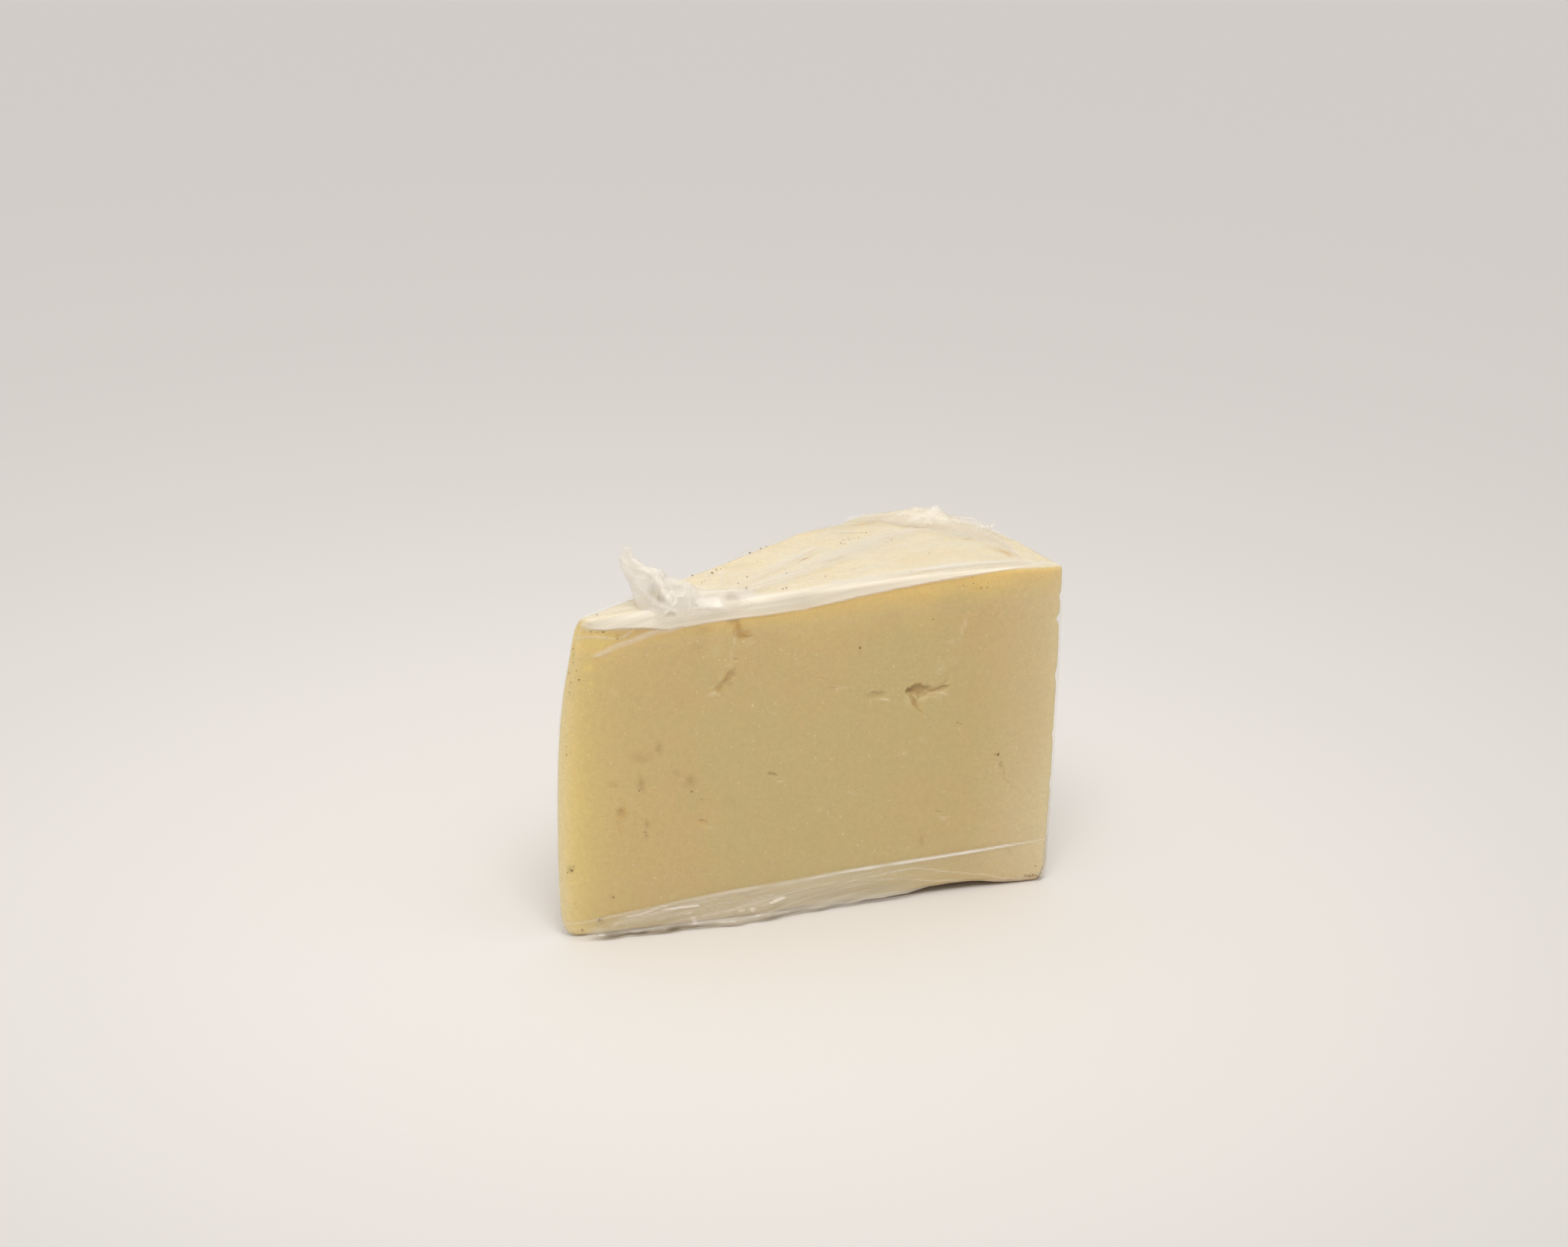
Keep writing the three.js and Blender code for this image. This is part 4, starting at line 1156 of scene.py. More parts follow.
# Folds of the film round the foot, each with its run, half width, haze and height; the short bright runs at
# 13 to 35 and at 45 to 61 along are painted highlights
APRON_LINES = [
    ([(2.4, 0.3), (8.1, 2.2), (11.9, 3.4), (19.3, 4.0), (28, 5.2), (36.3, 6.2), (42, 6.8)], 0.6, 0.34, 0.04),
    ([(2.4, 0.3), (9.0, 1.2), (16, 1.9), (24, 2.6), (34, 3.8)], 0.6, 0.3, 0.04),
    ([(13.0, 4.6), (18.5, 5.0), (22, 5.5), (26.5, 6.2)], 0.6, 0.7, 0.05),
    ([(25.0, 5.2), (30.5, 5.6), (35.4, 5.5)], 0.55, 0.8, 0.05),
    ([(30.5, 7.0), (38, 7.5), (46, 8.0), (54, 8.5)], 0.8, 0.5, 0.04),
    ([(32.2, 0.6), (36.6, 1.9), (42, 2.9), (50.4, 5.2), (53.4, 5.7), (58, 6.2)], 0.6, 0.5, 0.1),
    ([(43.6, 1.2), (48.4, 2.4), (53, 3.8), (58.6, 4.6), (62.0, 4.8)], 0.6, 0.5, 0.1),
    ([(45.4, 3.5), (48.0, 3.6)], 0.6, 0.85, 0.1),
    ([(49.0, 3.4), (51.0, 3.5)], 0.8, 1.0, 0.12),
    ([(55.6, 4.2), (58.4, 4.7), (60.6, 5.0)], 1.0, 1.0, 0.12),
    ([(57.0, 7.6), (64, 7.0), (75, 7.1), (87.3, 6.9), (95.5, 5.5), (104.8, 4.3), (114.1, 3.0), (125.8, 1.4),
      (135.8, 0.9)], 0.9, 0.34, 0.04),
    ([(74, 8.2), (80.9, 7.2), (92.7, 8.4), (98.2, 8.9), (104.7, 7.8), (109.3, 6.3), (118.7, 4.5),
      (125.8, 2.2), (135.8, 1.3)], 0.6, 0.3, 0.03),
    ([(106.2, 4.4), (109.3, 6.3)], 0.5, 0.2, 0.02),
    ([(56, 1.6), (63.8, 2.3), (75.1, 2.5), (81.9, 3.0), (89.2, 4.2), (94, 5.4)], 0.8, 0.36, 0.04),
    ([(59, 3.4), (64, 2.8), (70, 1.4), (73, 0.9)], 0.6, 0.3, 0.04),
    ([(64, 9.0), (72, 8.4), (80, 8.6), (90, 9.4)], 0.8, 0.3, 0.03),
    ([(102, 2.2), (110, 2.4), (118, 1.9), (125, 0.9), (136, 0.7)], 0.8, 0.36, 0.03),
]
# Along the front cut: how far the loose film stands off its foot and how high that reaches,
# and how bright and wide its upper fold is, how hazy it is and how many wisps it has
WAD_OUT = ([-4, -2, -0.6, 3, 7, 14, 19.4, 25, 30.1, 33.7, 41.2, 48.5, 53.3, 58.6, 65.2, 80, 95, 108,
            120, 138],
           [0, 0.8, 2.2, 3.4, 3.9, 4.2, 4.8, 4.3, 4.3, 4.7, 5.2, 5.5, 5.3, 4.4, 3.2, 2.6, 2.3, 1.8, 0.9, 0])
WAD_SPREAD = ([0, 28, 34, 56, 70, 90], [1.9, 2.2, 2.8, 2.8, 1.7, 1.3])
FOLD_BRIGHT = ([-3, 8, 50, 66, 80, 128, 141], [0.16, 0.3, 0.4, 0.6, 0.74, 0.64, 0.34])
FOLD_HALF = ([0, 60, 90, 120, 141], [0.7, 1.1, 0.9, 0.7, 0.5])
FOOT_MURK = ([-3, 4, 12, 22, 62, 80, 95, 108, 141], [0.01, 0.04, 0.14, 0.26, 0.32, 0.26, 0.13, 0.06, 0.05])
FOOT_WISP = ([0, 10, 62, 95, 120], [0.06, 0.16, 0.16, 0.12, 0.06])
# Painted shadow: grey film close above the floor where the dark gap under the cheese shows through; where
# along the cut, and between which heights it ends
GREY_X = (1, 8, 106, 124)
GREY_TOP = (1.4, 3.4)
# Two darker patches of painted shadow in it: where along the cut, height and reach
SHADOW_PATCHES = [((3, 11, 32, 42), 1.2, 1.5), ((50, 56, 62, 68), 0.8, 1.2)]
# Hazier film below the upper fold
HAZIER_X = (66, 76, 108, 122)
# Where along the cut the film's lower edge hangs clear of the floor, and how far
HANG_FROM_X = (60, 68)
HANG_TO_X = (112, 124)
HANG = 0.6
# Lengths of the cuts and of the rim round the foot
CUT_RUN = 141
RIM_RUN = 76


def perimeter_place(points, outward):
    """A running distance round the wedge for the foot folds of the sides that don't show."""
    rim = facing_masks(points, outward)[2]
    round_rim = CUT_RUN + points[:, 1]
    round_back = CUT_RUN + RIM_RUN + (CUT_RUN - wheel_radius(points))
    return np.where(points[:, 1] < 1.5, points[:, 0], np.where(rim > 0.5, round_rim, round_back))


def apron_haze(points, outward):
    """Fields and height of the film round the foot, the share by which each point belongs to
    the front, and how loose the film is there."""
    x, y, z = points.T
    front = np.where(y < 2.0, 1.0, 0.0)
    place = perimeter_place(points, outward)
    along = np.column_stack([place, 0 * place, 0 * place])
    high = np.where(front > 0, apron_high(x), 8 + 4.5 * noise(along, 31, 92) + 2 * noise(along, 9, 93))
    share = z / high
    haze, height = lines_on(points[:, [0, 2]], APRON_LINES, 95)
    haze *= front
    height *= front

    # The bright fold that ends it above, and the murk inside
    crisp = np.interp(x, *FOLD_BRIGHT) * (1.15 + 0.5 * noise(along, 5, 98))
    half_fold = np.where(front > 0, np.interp(x, *FOLD_HALF), 0.9)
    fold = bump(np.abs(z - high + 0.1), half_fold) * np.where(front > 0, crisp, 0.3)
    inside = fall(share, 0.97, 1.02)
    loose = np.interp(x, *WAD_OUT) * front
    low_crumple = bump(z, 3.4) * smoothstep(loose, 0.5, 3)
    below_line = window(x, *HAZIER_X) * bump(z, np.maximum(apron_high(x) * 0.5, 1))
    murk = np.where(front > 0, np.interp(x, *FOOT_MURK), 0.2)
    murk = murk + 0.1 * low_crumple + 0.14 * below_line * front + 0.15 * bump(z, 2.0) * (1 - front)

    # Painted shadow: film close above the floor greyed where the dark gap under the cheese shows through,
    # with two darker patches; its lower half greyed a little too
    zone = window(x, *GREY_X) * fall(z + 0.5 * noise(points, 6, 96), *GREY_TOP)
    shadow_patch = np.maximum.reduce([window(x, *span) * bump(np.abs(z - middle), reach)
                                for span, middle, reach in SHADOW_PATCHES])
    shade = front * (0.5 * zone + 0.45 * shadow_patch * (1 + 0.5 * noise(points, 3, 94)))
    dulled = 0.34 * smoothstep(x, 8, 22) * fall(x, 84, 110) * fall(share, 0.3, 0.75) * front
    haze = np.maximum.reduce([haze, fold, (murk + 0.5 * dulled) * inside, 0.86 * front * zone])

    ripple = zigzag(share * 7 + 0.6 * noise(points, 24, 97))
    height += 0.05 * (1 - ripple) * inside
    height += 0.02 * bump(np.abs(z - high), 0.9)
    flow = np.column_stack([place * 0.035, 0.9 * z - 0.09 * place + 0.4 * noise(points, 14, 99), 0.2 * y])
    wisp = inside * np.where(front > 0, np.interp(x, *FOOT_WISP), 0.24)
    wisp *= fall(share, 0.8, 0.92) * (1 - 0.7 * np.clip(shade, 0, 1))
    tint = front * (0.4 + 0.6 * fall(share, 0.3, 0.8))
    shade = np.clip(np.maximum(shade, dulled), 0, 1)
    return {"haze": haze, "flow": flow, "wisp": wisp, "shade": shade, "tint": tint}, height, front, loose


def make_apron(material):
    """Film round the foot of all four sides, with its loose wad at the front."""
    heights = APRON_RISE / TOP_HEIGHT * (np.arange(APRON_CELLS[2] + 1) / APRON_CELLS[2]) ** 1.5
    points, quads, outward = wedge_grid(APRON_CELLS, UPRIGHT_SIDES, heights, APRON_GAP, 4)
    fields, height, front, loose = apron_haze(points, outward)
    x, _, z = points.T
    spread = np.interp(x, *WAD_SPREAD)
    profile = np.where(z > 0.8, np.exp(-((z - 0.8) / spread) ** 2), 0.88 + 0.12 * smoothstep(z, 0, 0.7))
    wad = loose * profile * (1 + 0.16 * noise(points, 5, 101))
    crush = facets(points, 6.5, 103, 4) * 0.5 + facets(points, 2.6, 105, 4) * 0.16
    slack = front * smoothstep(wad, 0.3, 2.5)
    push = height + wad + crush * (0.03 + 0.34 * slack)
    points = points + unit(outward * (1, 1, 0), 1e-6) * push[:, None]
    points[:, 2] += 0.25 * slack * facets(points, 3.5, 107) * smoothstep(z, 0.5, 2)
    hang = HANG * front * smoothstep(x, *HANG_FROM_X) * fall(x, *HANG_TO_X)
    points[:, 2] = np.maximum(points[:, 2], FILM_CLEARANCE + hang)
    return make_piece("film_apron", points, quads, material, fields)


SIDE_CELLS = (150, 60, 90)
BASE_CELLS = (90, 34, 1)
# Where the film over the back cut and the rim gathers, and where it does underneath
GATHER = (117.0, 50.0, 98.0)
BASE_GATHER = (78.0, 24.0)
# Heights of the side film's lower edge, of its overlap with the cap, and of its fading hem
SIDE_LOW = 1.2
SIDE_OVERLAP = 3
SIDE_HEM = (76, 84)


def make_sides(material):
    """Tight clear film over the two cuts, the acute edge and the rim."""
    high = 1 - (CAP_DROP - SIDE_OVERLAP) / TOP_HEIGHT
    heights = even_heights(SIDE_CELLS, SIDE_LOW / TOP_HEIGHT, high)
    points, quads, outward = wedge_grid(SIDE_CELLS, UPRIGHT_SIDES, heights, FILM_GAP)
    front, back, rim, _ = facing_masks(points, outward)
    hidden = np.clip(back + rim, 0, 1)
    x, _, z = points.T
    from_gather = points - np.array(GATHER)
    distance = np.linalg.norm(from_gather, axis=1)
    toward = from_gather / distance[:, None]
    bearing = np.arctan2(-toward[:, 2], toward[:, 1] - toward[:, 0])
    hem = fall(z, *SIDE_HEM)
    tip = fade(x - tip_x(z) + FILM_GAP, 2.2)
    haze = np.maximum((0.16 * rim + 0.08 * back) * hem, 0.12 * tip * smoothstep(z, 2, 14))
    wisp = 0.3 * hidden * hem * smoothstep(noise(points, 26, 112), -0.5, 0.5)
    taut = 0.2 * noise(points, 16, 113) * (1 - front)
    ridge = 1 - zigzag(bearing * 5 + 0.5 * noise(points, 30, 114))
    taut += 0.3 * smoothstep(ridge, 0.6, 1.0) * hidden * bump(distance, 90)
    flow = (9 * toward + 0.03 * distance[:, None]) * (1 - front)[:, None]
    points = points + outward * (taut + 0.15 * hidden + 0.2 * rim)[:, None]
    return make_piece("film_sides", points, quads, material, {"haze": haze, "flow": flow, "wisp": wisp})


def make_base(material):
    """Film under the wedge, gathered towards the middle."""
    points, quads, _ = wedge_grid(BASE_CELLS, (UNDERSIDE,), np.zeros(2), FILM_GAP)
    middle = points[:, :2] - np.array(BASE_GATHER)
    bearing = np.arctan2(middle[:, 1], middle[:, 0])
    distance = np.linalg.norm(middle, axis=1)
    fan = zigzag(bearing * 8 / math.pi + 0.3 * noise(points, 9, 115))
    inner = smoothstep(points[:, 1], 14, 26)
    haze = (0.1 + 0.2 * fall(fan, 0.0, 0.5) + 0.3 * bump(distance, 16)) * inner
    flow = np.column_stack([9 * np.cos(bearing), 9 * np.sin(bearing), distance * 0.03])
    points[:, 2] = np.maximum(points[:, 2], BASE_CLEARANCE)
    fields = {"haze": haze, "flow": flow, "wisp": 0.4 * inner}
    return make_piece("film_underside", points, quads, material, fields)


# Gathers of film that stand on the top: rings between two rows of a loft, points along a tent
RING_STEPS = 14
TENT_STEPS = 110


def ring_loft(rows, around, pleats, crush, seed):
    """Rings through rows of (left end, right end, half depth), each end as x, y, z.
    Returns points, quads and the height share of each point."""
    rows = [(np.array(left, float), np.array(right, float), depth) for left, right, depth in rows]
    steps = RING_STEPS * (len(rows) - 1)
    turn = np.linspace(0, 2 * math.pi, around, endpoint=False)
    points, shares = [], []
    for step in range(steps + 1):
        share = step / steps * (len(rows) - 1)
        index = min(int(share), len(rows) - 2)
        part = share - index
        left, right, depth = [low * (1 - part) + high * part
                              for low, high in zip(rows[index], rows[index + 1])]
        wave = zigzag(turn / (2 * math.pi) * pleats + 0.35 * math.sin(step * 0.13) + seed)
        factor = 1 + 0.12 * (wave - 0.5)
        middle, arm = (left + right) / 2, (right - left) / 2
        ring = middle - np.cos(turn)[:, None] * arm * (1 + 0.3 * (factor - 1))[:, None]
        ring[:, 1] += np.sin(turn) * depth * factor
        points.append(ring)
        shares.append(np.full(around, step / steps))
    points, shares = np.concatenate(points), np.concatenate(shares)
    crushed = facets(points, 5.5, seed, 4) * 0.9 + facets(points, 2.4, seed + 1, 4) * 0.25
    taper = 0.35 + 0.65 * (1 - shares)
    points[:, 1] += crush * crushed * taper
    points[:, 2] += 0.3 * crush * facets(points, 3.2, seed + 2) * taper
    return points, sheet_quads(steps + 1, around, True), shares


def tent(front_line, crest_line, back_line, across, crush, seed, swell=0.25):
    """A sheet that rises from a front line to a crest and falls to a back line. Returns points,
    quads, how far up each point is and how sharply the sheet is crushed there."""
    share = np.linspace(0, 1, TENT_STEPS)
    rows = [along_line(line, share * (len(line) - 1)) for line in (front_line, crest_line, back_line)]
    points, rises = [], []
    for v in np.linspace(0, 2, 2 * across + 1):
        first, second = rows[:2] if v <= 1 else rows[1:]
        part = v if v <= 1 else v - 1
        row = first * (1 - part) + second * part
        row[:, 1] += (-swell if v <= 1 else swell) * math.sin(math.pi * part) * 4
        points.append(row)
        rises.append(np.full(TENT_STEPS, 1 - abs(1 - v)))
    points, rises = np.concatenate(points), np.concatenate(rises)
    amount = crush * (0.4 + 0.6 * rises)
    sharp = facets(points, 4.6, seed, 4) * 0.8 + facets(points, 2.0, seed + 1, 4) * 0.35
    points[:, 1] += amount * sharp
    points[:, 2] += 0.45 * amount * facets(points, 2.6, seed + 2)
    points[:, 0] += 0.35 * amount * facets(points, 3.4, seed + 3)
    return points, sheet_quads(2 * across + 1, TENT_STEPS), rises, np.abs(sharp)


def make_joined(name, parts, material):
    """One piece from several parts of points, faces and fields."""
    points, faces, fields, count = [], [], {}, 0
    for part_points, part_faces, part_fields in parts:
        points.append(part_points)
        faces.append(part_faces + count)
        count += len(part_points)
        for field, values in part_fields.items():
            fields.setdefault(field, []).append(values)
    fields = {field: np.concatenate(values) for field, values in fields.items()}
    return make_piece(name, np.concatenate(points), np.concatenate(faces), material, fields)


# Folds painted on the knot, with their places as seen from the front; the run along the bright patch's lower
# edge, from 33 to 42 along, is a painted highlight
KNOT_LINES = [
    ([(17.4, 106.6), (18.4, 104.6), (20.2, 103.0), (23.4, 100.4), (25.4, 97.4), (26.6, 95.0), (27.3, 93.0)],
     1.1, 0.8, 0.2),
    ([(15.2, 105.6), (16.3, 102.8), (18.6, 100.0), (19.2, 97.6), (21.5, 94.9), (24.0, 93.0), (26.4, 91.9)],
     1.0, 0.72, 0.2),
    ([(18.4, 100.6), (20.0, 99.8), (21.8, 99.6)], 0.9, 0.7, 0.1),
    ([(14.6, 104.6), (14.8, 102.3), (16.0, 99.4), (18.2, 96.4), (19.0, 93.6)], 0.8, 0.45, 0.1),
    ([(22.6, 102.6), (23.6, 101.8), (24.6, 100.6)], 0.8, 0.8, 0.2),
    ([(24.8, 101.4), (26.0, 100.6), (26.6, 98.8)], 0.8, 0.65, 0.1),
    ([(27.6, 97.6), (28.0, 95.8), (28.8, 94.8), (30.7, 94.7), (31.6, 95.8), (31.8, 97.2)], 0.7, 0.75, 0.15),
    ([(32.5, 98.0), (32.3, 95.4), (32.2, 92.2), (31.6, 90.4)], 0.55, 0.6, 0.15),
    ([(26.8, 91.9), (28.4, 93.2), (28.8, 94.6)], 0.6, 0.8, 0.15),
    ([(26.8, 91.9), (25.0, 90.0), (22.6, 89.0)], 0.6, 0.8, 0.15),
    ([(26.8, 91.9), (28.6, 90.6), (30.4, 89.3)], 0.6, 0.8, 0.15),
    ([(26.8, 91.9), (24.0, 92.6), (21.6, 93.4)], 0.6, 0.65, 0.1),
    ([(33.2, 91.4), (37.4, 91.0), (41.8, 90.3)], 0.5, 0.9, 0.2),
    ([(44.2, 94.4), (46.2, 94.4), (48.4, 93.4), (49.6, 91.6)], 0.6, 0.5, 0.1),
    ([(46.6, 89.0), (48.4, 90.4), (49.8, 92.0)], 0.7, 0.7, 0.15),
    ([(41.0, 94.6), (44.0, 94.9), (46.6, 95.0)], 0.8, 0.45, 0.1),
]
# A bright patch of the knot, a painted highlight on a flat facet, and its grey hollows, painted shade: place
# and half sizes
BRIGHT_PATCH = (38.4, 92.3, 5.0, 1.9)
SHADED_HOLLOWS = [(22.8, 96.4, 1.9, 2.4), (24.6, 94.4, 1.5, 1.6), (44.6, 92.0, 2.4, 1.8),
                (27.0, 90.2, 1.6, 0.8)]
# The knot's horn: rows of its left end, its right end and its half depth, from its foot up
HORN_ROWS = [
    ((19.6, 3.4, 87.8), (36.4, 3.4, 88.6), 5.2),
    ((18.8, 3.5, 91.6), (34.8, 3.5, 92.6), 4.2),
    ((18.0, 3.6, 95.2), (33.2, 3.6, 97.6), 3.1),
    ((17.0, 3.8, 98.4), (27.6, 3.8, 99.2), 2.5),
    ((15.8, 3.9, 100.6), (26.2, 3.9, 101.2), 2.1),
    ((14.8, 4.0, 102.8), (21.8, 4.0, 102.6), 1.7),
    ((14.4, 4.0, 105.2), (18.4, 4.0, 105.2), 1.1),
    ((15.6, 4.0, 108.1), (17.6, 4.0, 108.4), 0.5),
]
HORN_MIDDLE = (25, 3.6)
# The knot's crumpled foot: its lines in front, along its crest and behind
KNOT_FRONT = [(22, -1.2, 88.0), (30, -1.6, 88.2), (36, -1.6, 88.8), (42, -1.3, 89.2), (48, -0.9, 90.0),
              (55, 0.0, 91.2)]
KNOT_CREST = [(25, 1.2, 96.4), (29.5, 1.4, 97.6), (33.2, 1.6, 97.5), (35.6, 1.8, 95.0), (41.6, 2.6, 94.6),
              (46.0, 3.0, 94.4), (50.4, 3.4, 93.6), (55.0, 3.8, 92.6)]
KNOT_BACK = [(26, 8.4, 90.8), (31, 9.4, 91.4), (36, 9.8, 91.8), (41, 9.6, 92.0), (46, 8.8, 92.2),
             (55, 7.0, 92.6)]
# The crumple by the back corner: its line in front and behind as places on the top, and its crest
CREST_FRONT = [(99.6, 59.6), (102, 57.0), (106, 52.4), (110.5, 45.6), (116.8, 42.2), (121, 37.0),
               (125, 32.6), (128.4, 28.6), (130.2, 22.0), (131, 14)]
CREST_TOP = [(99.0, 61.4, 93.9), (102, 60.4, 94.6), (106, 57.6, 95.1), (108.6, 55.4, 95.9),
             (110.6, 54.0, 96.7), (113.5, 51.6, 97.7), (115.6, 50.4, 98.7), (119.0, 48.6, 98.7),
             (121.4, 47.6, 99.6), (122.6, 47.0, 98.6), (124.2, 46.2, 97.0), (128.0, 45.4, 96.4),
             (130.8, 43.6, 96.2), (133.0, 38.6, 95.6), (134.0, 33.4, 94.9), (135.2, 26, 94.4)]
CREST_BACK = [(100.0, 63.8), (103, 65.4), (108, 64.4), (114, 60.0), (120, 56.0), (126, 50.0), (131, 44.6),
              (134, 39), (135.6, 32), (136, 25)]
# Its whitest part: place and half sizes
CREST_CORE = (117.5, 47.0, 7.5, 12)
CREST_LIFT = 0.35
# Layers of each gather. The horn's have a seed, a size, a haze and a share of painted folds; the
# others' a seed, how deep they are sunk and a haze; the shred's a seed and a reach
HORN_LAYERS = ((201, 1.0, 0.46, 1.0), (211, 0.55, 0.3, 0.3))
KNOT_LAYERS = ((221, 0.0, 0.52), (231, 1.0, 0.3))
CREST_LAYERS = ((241, 0.0, 0.22), (251, 1.1, 0.16))
SHRED_LAYERS = ((271, 2.3), (273, 1.5))
# Points round the horn and its pleats, rows up each side of a tent, and how crushed each is
HORN_AROUND = 130
HORN_PLEATS = 5
HORN_CRUSH = 0.13
KNOT_ROWS = 26
KNOT_CRUSH = 0.14
CREST_ROWS = 24
CREST_CRUSH = 0.24
CREST_SWELL = 0.1
RIBBON_STEPS = 24
# Torn strands of film by the rim, and their widths
SPRIG_ROOT = (133.9, 37.0, 94.8)
SPRIG_STRANDS = [
    ([SPRIG_ROOT, (132.8, 37.0, 95.1), (131.9, 37.0, 95.5), (130.6, 37.0, 95.6)], 0.8),
    ([SPRIG_ROOT, (134.3, 37.0, 95.4), (134.6, 37.0, 95.8), (135.1, 37.0, 96.6)], 0.8),
    ([SPRIG_ROOT, (134.2, 37.0, 94.2), (134.3, 37.0, 93.6), (134.6, 37.0, 92.9)], 0.75),
    ([SPRIG_ROOT, (134.8, 37.2, 95.2), (135.5, 37.4, 95.5)], 0.4),
    ([(132.6, 37.0, 95.2), (132.0, 37.0, 95.7), (131.6, 37.0, 96.2)], 0.4),
    ([(133.4, 37.2, 94.9), (132.6, 37.6, 94.7), (131.6, 38.0, 94.8), (130.4, 38.4, 95.0)], 0.5),
]
# The loose film at the foot corner: points upwards and rows round it, its height and its depth
SHRED_POINTS = 60
SHRED_ROWS = 12
SHRED_HEIGHT = 27
SHRED_DEPTH = 7.5


def knot_haze(points, seed, body, painted):
    """Haze, height and shade of the gather: folds painted as seen from the front and, a little
    moved, from behind."""
    behind = smoothstep(points[:, 1], 3.2, 4.6)
    places = points[:, [0, 2]] + behind[:, None] * np.array([1.8, -1.4])
    lines = [(run, 2.0 * half, 0.9 * share, 0.8 * rise) for run, half, share, rise in KNOT_LINES]
    haze, height = lines_on(places, lines, seed)
    across = (places[:, 0] - BRIGHT_PATCH[0]) / BRIGHT_PATCH[2]
    up = (places[:, 1] - BRIGHT_PATCH[1]) / BRIGHT_PATCH[3] + 0.25 * across
    box = (across ** 4 + up ** 4) ** 0.25 + 0.25 * noise(points, 1.8, seed + 4) * (up > -0.4)
    patch = fall(box, 0.55 - 0.45 * np.clip(up, 0, 1), 1.05)
    hollow_shade = np.maximum.reduce([bump(oval(places, *mark), 1.3) for mark in SHADED_HOLLOWS])
    thin_tip = 1 - 0.35 * smoothstep(points[:, 2], 99, 108)
    fog = body * (1 + 0.3 * noise(points, 4, seed + 3)) * thin_tip * (1 - 0.6 * hollow_shade)
    seen = painted * (1 - 0.45 * behind)
    bright = seen * (0.84 + 0.14 * noise(points, 2.4, seed + 6)) * patch
    haze = np.maximum.reduce([fog, seen * haze, bright])
    shade = (0.3 * hollow_shade + 0.02) * (1 - behind)
    return haze, height * painted * (1 - behind), shade


def make_knot(material):
    """The gathered horn and its crumpled foot by the acute edge, each of two layers."""
    parts = []
    for seed, shrink, body, painted in HORN_LAYERS:
        rows = []
        for left, right, depth in HORN_ROWS:
            ends = [np.array(left), np.array(right)]
            left, right = [end * 0.5 * (1 + shrink) + other * 0.5 * (1 - shrink)
                           for end, other in (ends, ends[::-1])]
            rows.append((left, right, depth * shrink))
        points, quads, share = ring_loft(rows, HORN_AROUND, HORN_PLEATS, HORN_CRUSH, seed)
        haze, height, shade = knot_haze(points, seed, body, painted)
        haze *= smoothstep(share, 0.0, 0.16)
        points[:, 1] += np.sign(points[:, 1] - HORN_MIDDLE[1]) * height
        turn = np.arctan2(points[:, 1] - HORN_MIDDLE[1], points[:, 0] - HORN_MIDDLE[0])
        flow = np.column_stack([points[:, 2] * 0.08, turn * 3, np.full(len(points), seed * 0.1)])
        wisp = 0.06 * smoothstep(share, 0.0, 0.2)
        parts.append((points, quads, {"haze": haze, "flow": flow, "wisp": wisp, "shade": shade}))
    for seed, sink, body in KNOT_LAYERS:
        crest = [(x, y + 1.6 * sink, z - 0.8 * sink) for x, y, z in KNOT_CREST]
        points, quads, rise, _ = tent(KNOT_FRONT, crest, KNOT_BACK, KNOT_ROWS, KNOT_CRUSH, seed)
        haze, height, shade = knot_haze(points, seed, body, 1.0 - 0.7 * sink)
        hem = smoothstep(rise, 0.0, 0.3) * fall(points[:, 0], 49, 55) * smoothstep(points[:, 0], 21, 27)
        haze *= 0.1 + 0.9 * hem
        points[:, 1] -= height * (1 - sink)
        flow = points[:, [0, 2, 1]] * (0.2, 0.5, 0.3)
        parts.append((points, quads, {"haze": haze, "flow": flow, "wisp": 0.06 * hem, "shade": shade}))
    return make_joined("film_knot", parts, material)


def make_crest(material):
    """The crumple of film by the back corner, of two layers."""
    front, back = [[(x, y, float(top_z(x) - back_wear(x, y)) + CREST_LIFT) for x, y in line]
                   for line in (CREST_FRONT, CREST_BACK)]
    parts = []
    for seed, sink, body in CREST_LAYERS:
        crest = [(x, y + 0.6 * sink, z - 0.9 * sink) for x, y, z in CREST_TOP]
        points, quads, rise, sharp = tent(front, crest, back, CREST_ROWS, CREST_CRUSH, seed, CREST_SWELL)
        haze = body * (1 + 0.3 * noise(points, 5, seed + 5))
        haze *= 0.55 + 0.45 * smoothstep(points[:, 0], 101, 112)
        core = bump(oval(points, *CREST_CORE), 1)
        haze += 0.5 * core * smoothstep(rough_noise(points, 2.2, seed + 6), -0.5, 0.5)
        haze += 0.08 * smoothstep(sharp, 0.7, 1.1)
        haze *= 0.3 + 0.7 * smoothstep(rise, 0.0, 0.35)
        flow = points[:, [0, 2, 1]] * (0.3, 0.8, 0.3)
        wisp = 0.1 * smoothstep(rise, 0.0, 0.3)
        parts.append((points, quads, {"haze": haze, "flow": flow, "wisp": wisp}))
    return make_joined("film_crest", parts, material)


def ribbon(path, width, seed):
    """A thin twisted strip of film along a path."""
    middle = along_line(path, np.linspace(0, len(path) - 1, RIBBON_STEPS))
    share = np.linspace(0, 1, RIBBON_STEPS)
    twist = seed + share * 4
    reach = width / 2 * (1 - share) ** 0.6
    offset = np.column_stack([np.cos(twist), np.sin(twist) * 0.6, np.sin(twist)]) * reach[:, None]
    points = np.concatenate([middle - offset, middle, middle + offset])
    fields = {"haze": np.full(len(points), 1.0), "flow": points[:, [0, 2, 1]]}
    return points, sheet_quads(3, RIBBON_STEPS), fields


def make_sprig(material):
    """Torn strands of film that stand by the rim."""
    parts = [ribbon(path, width, seed) for seed, (path, width) in enumerate(SPRIG_STRANDS)]
    return make_joined("film_sprig", parts, material)


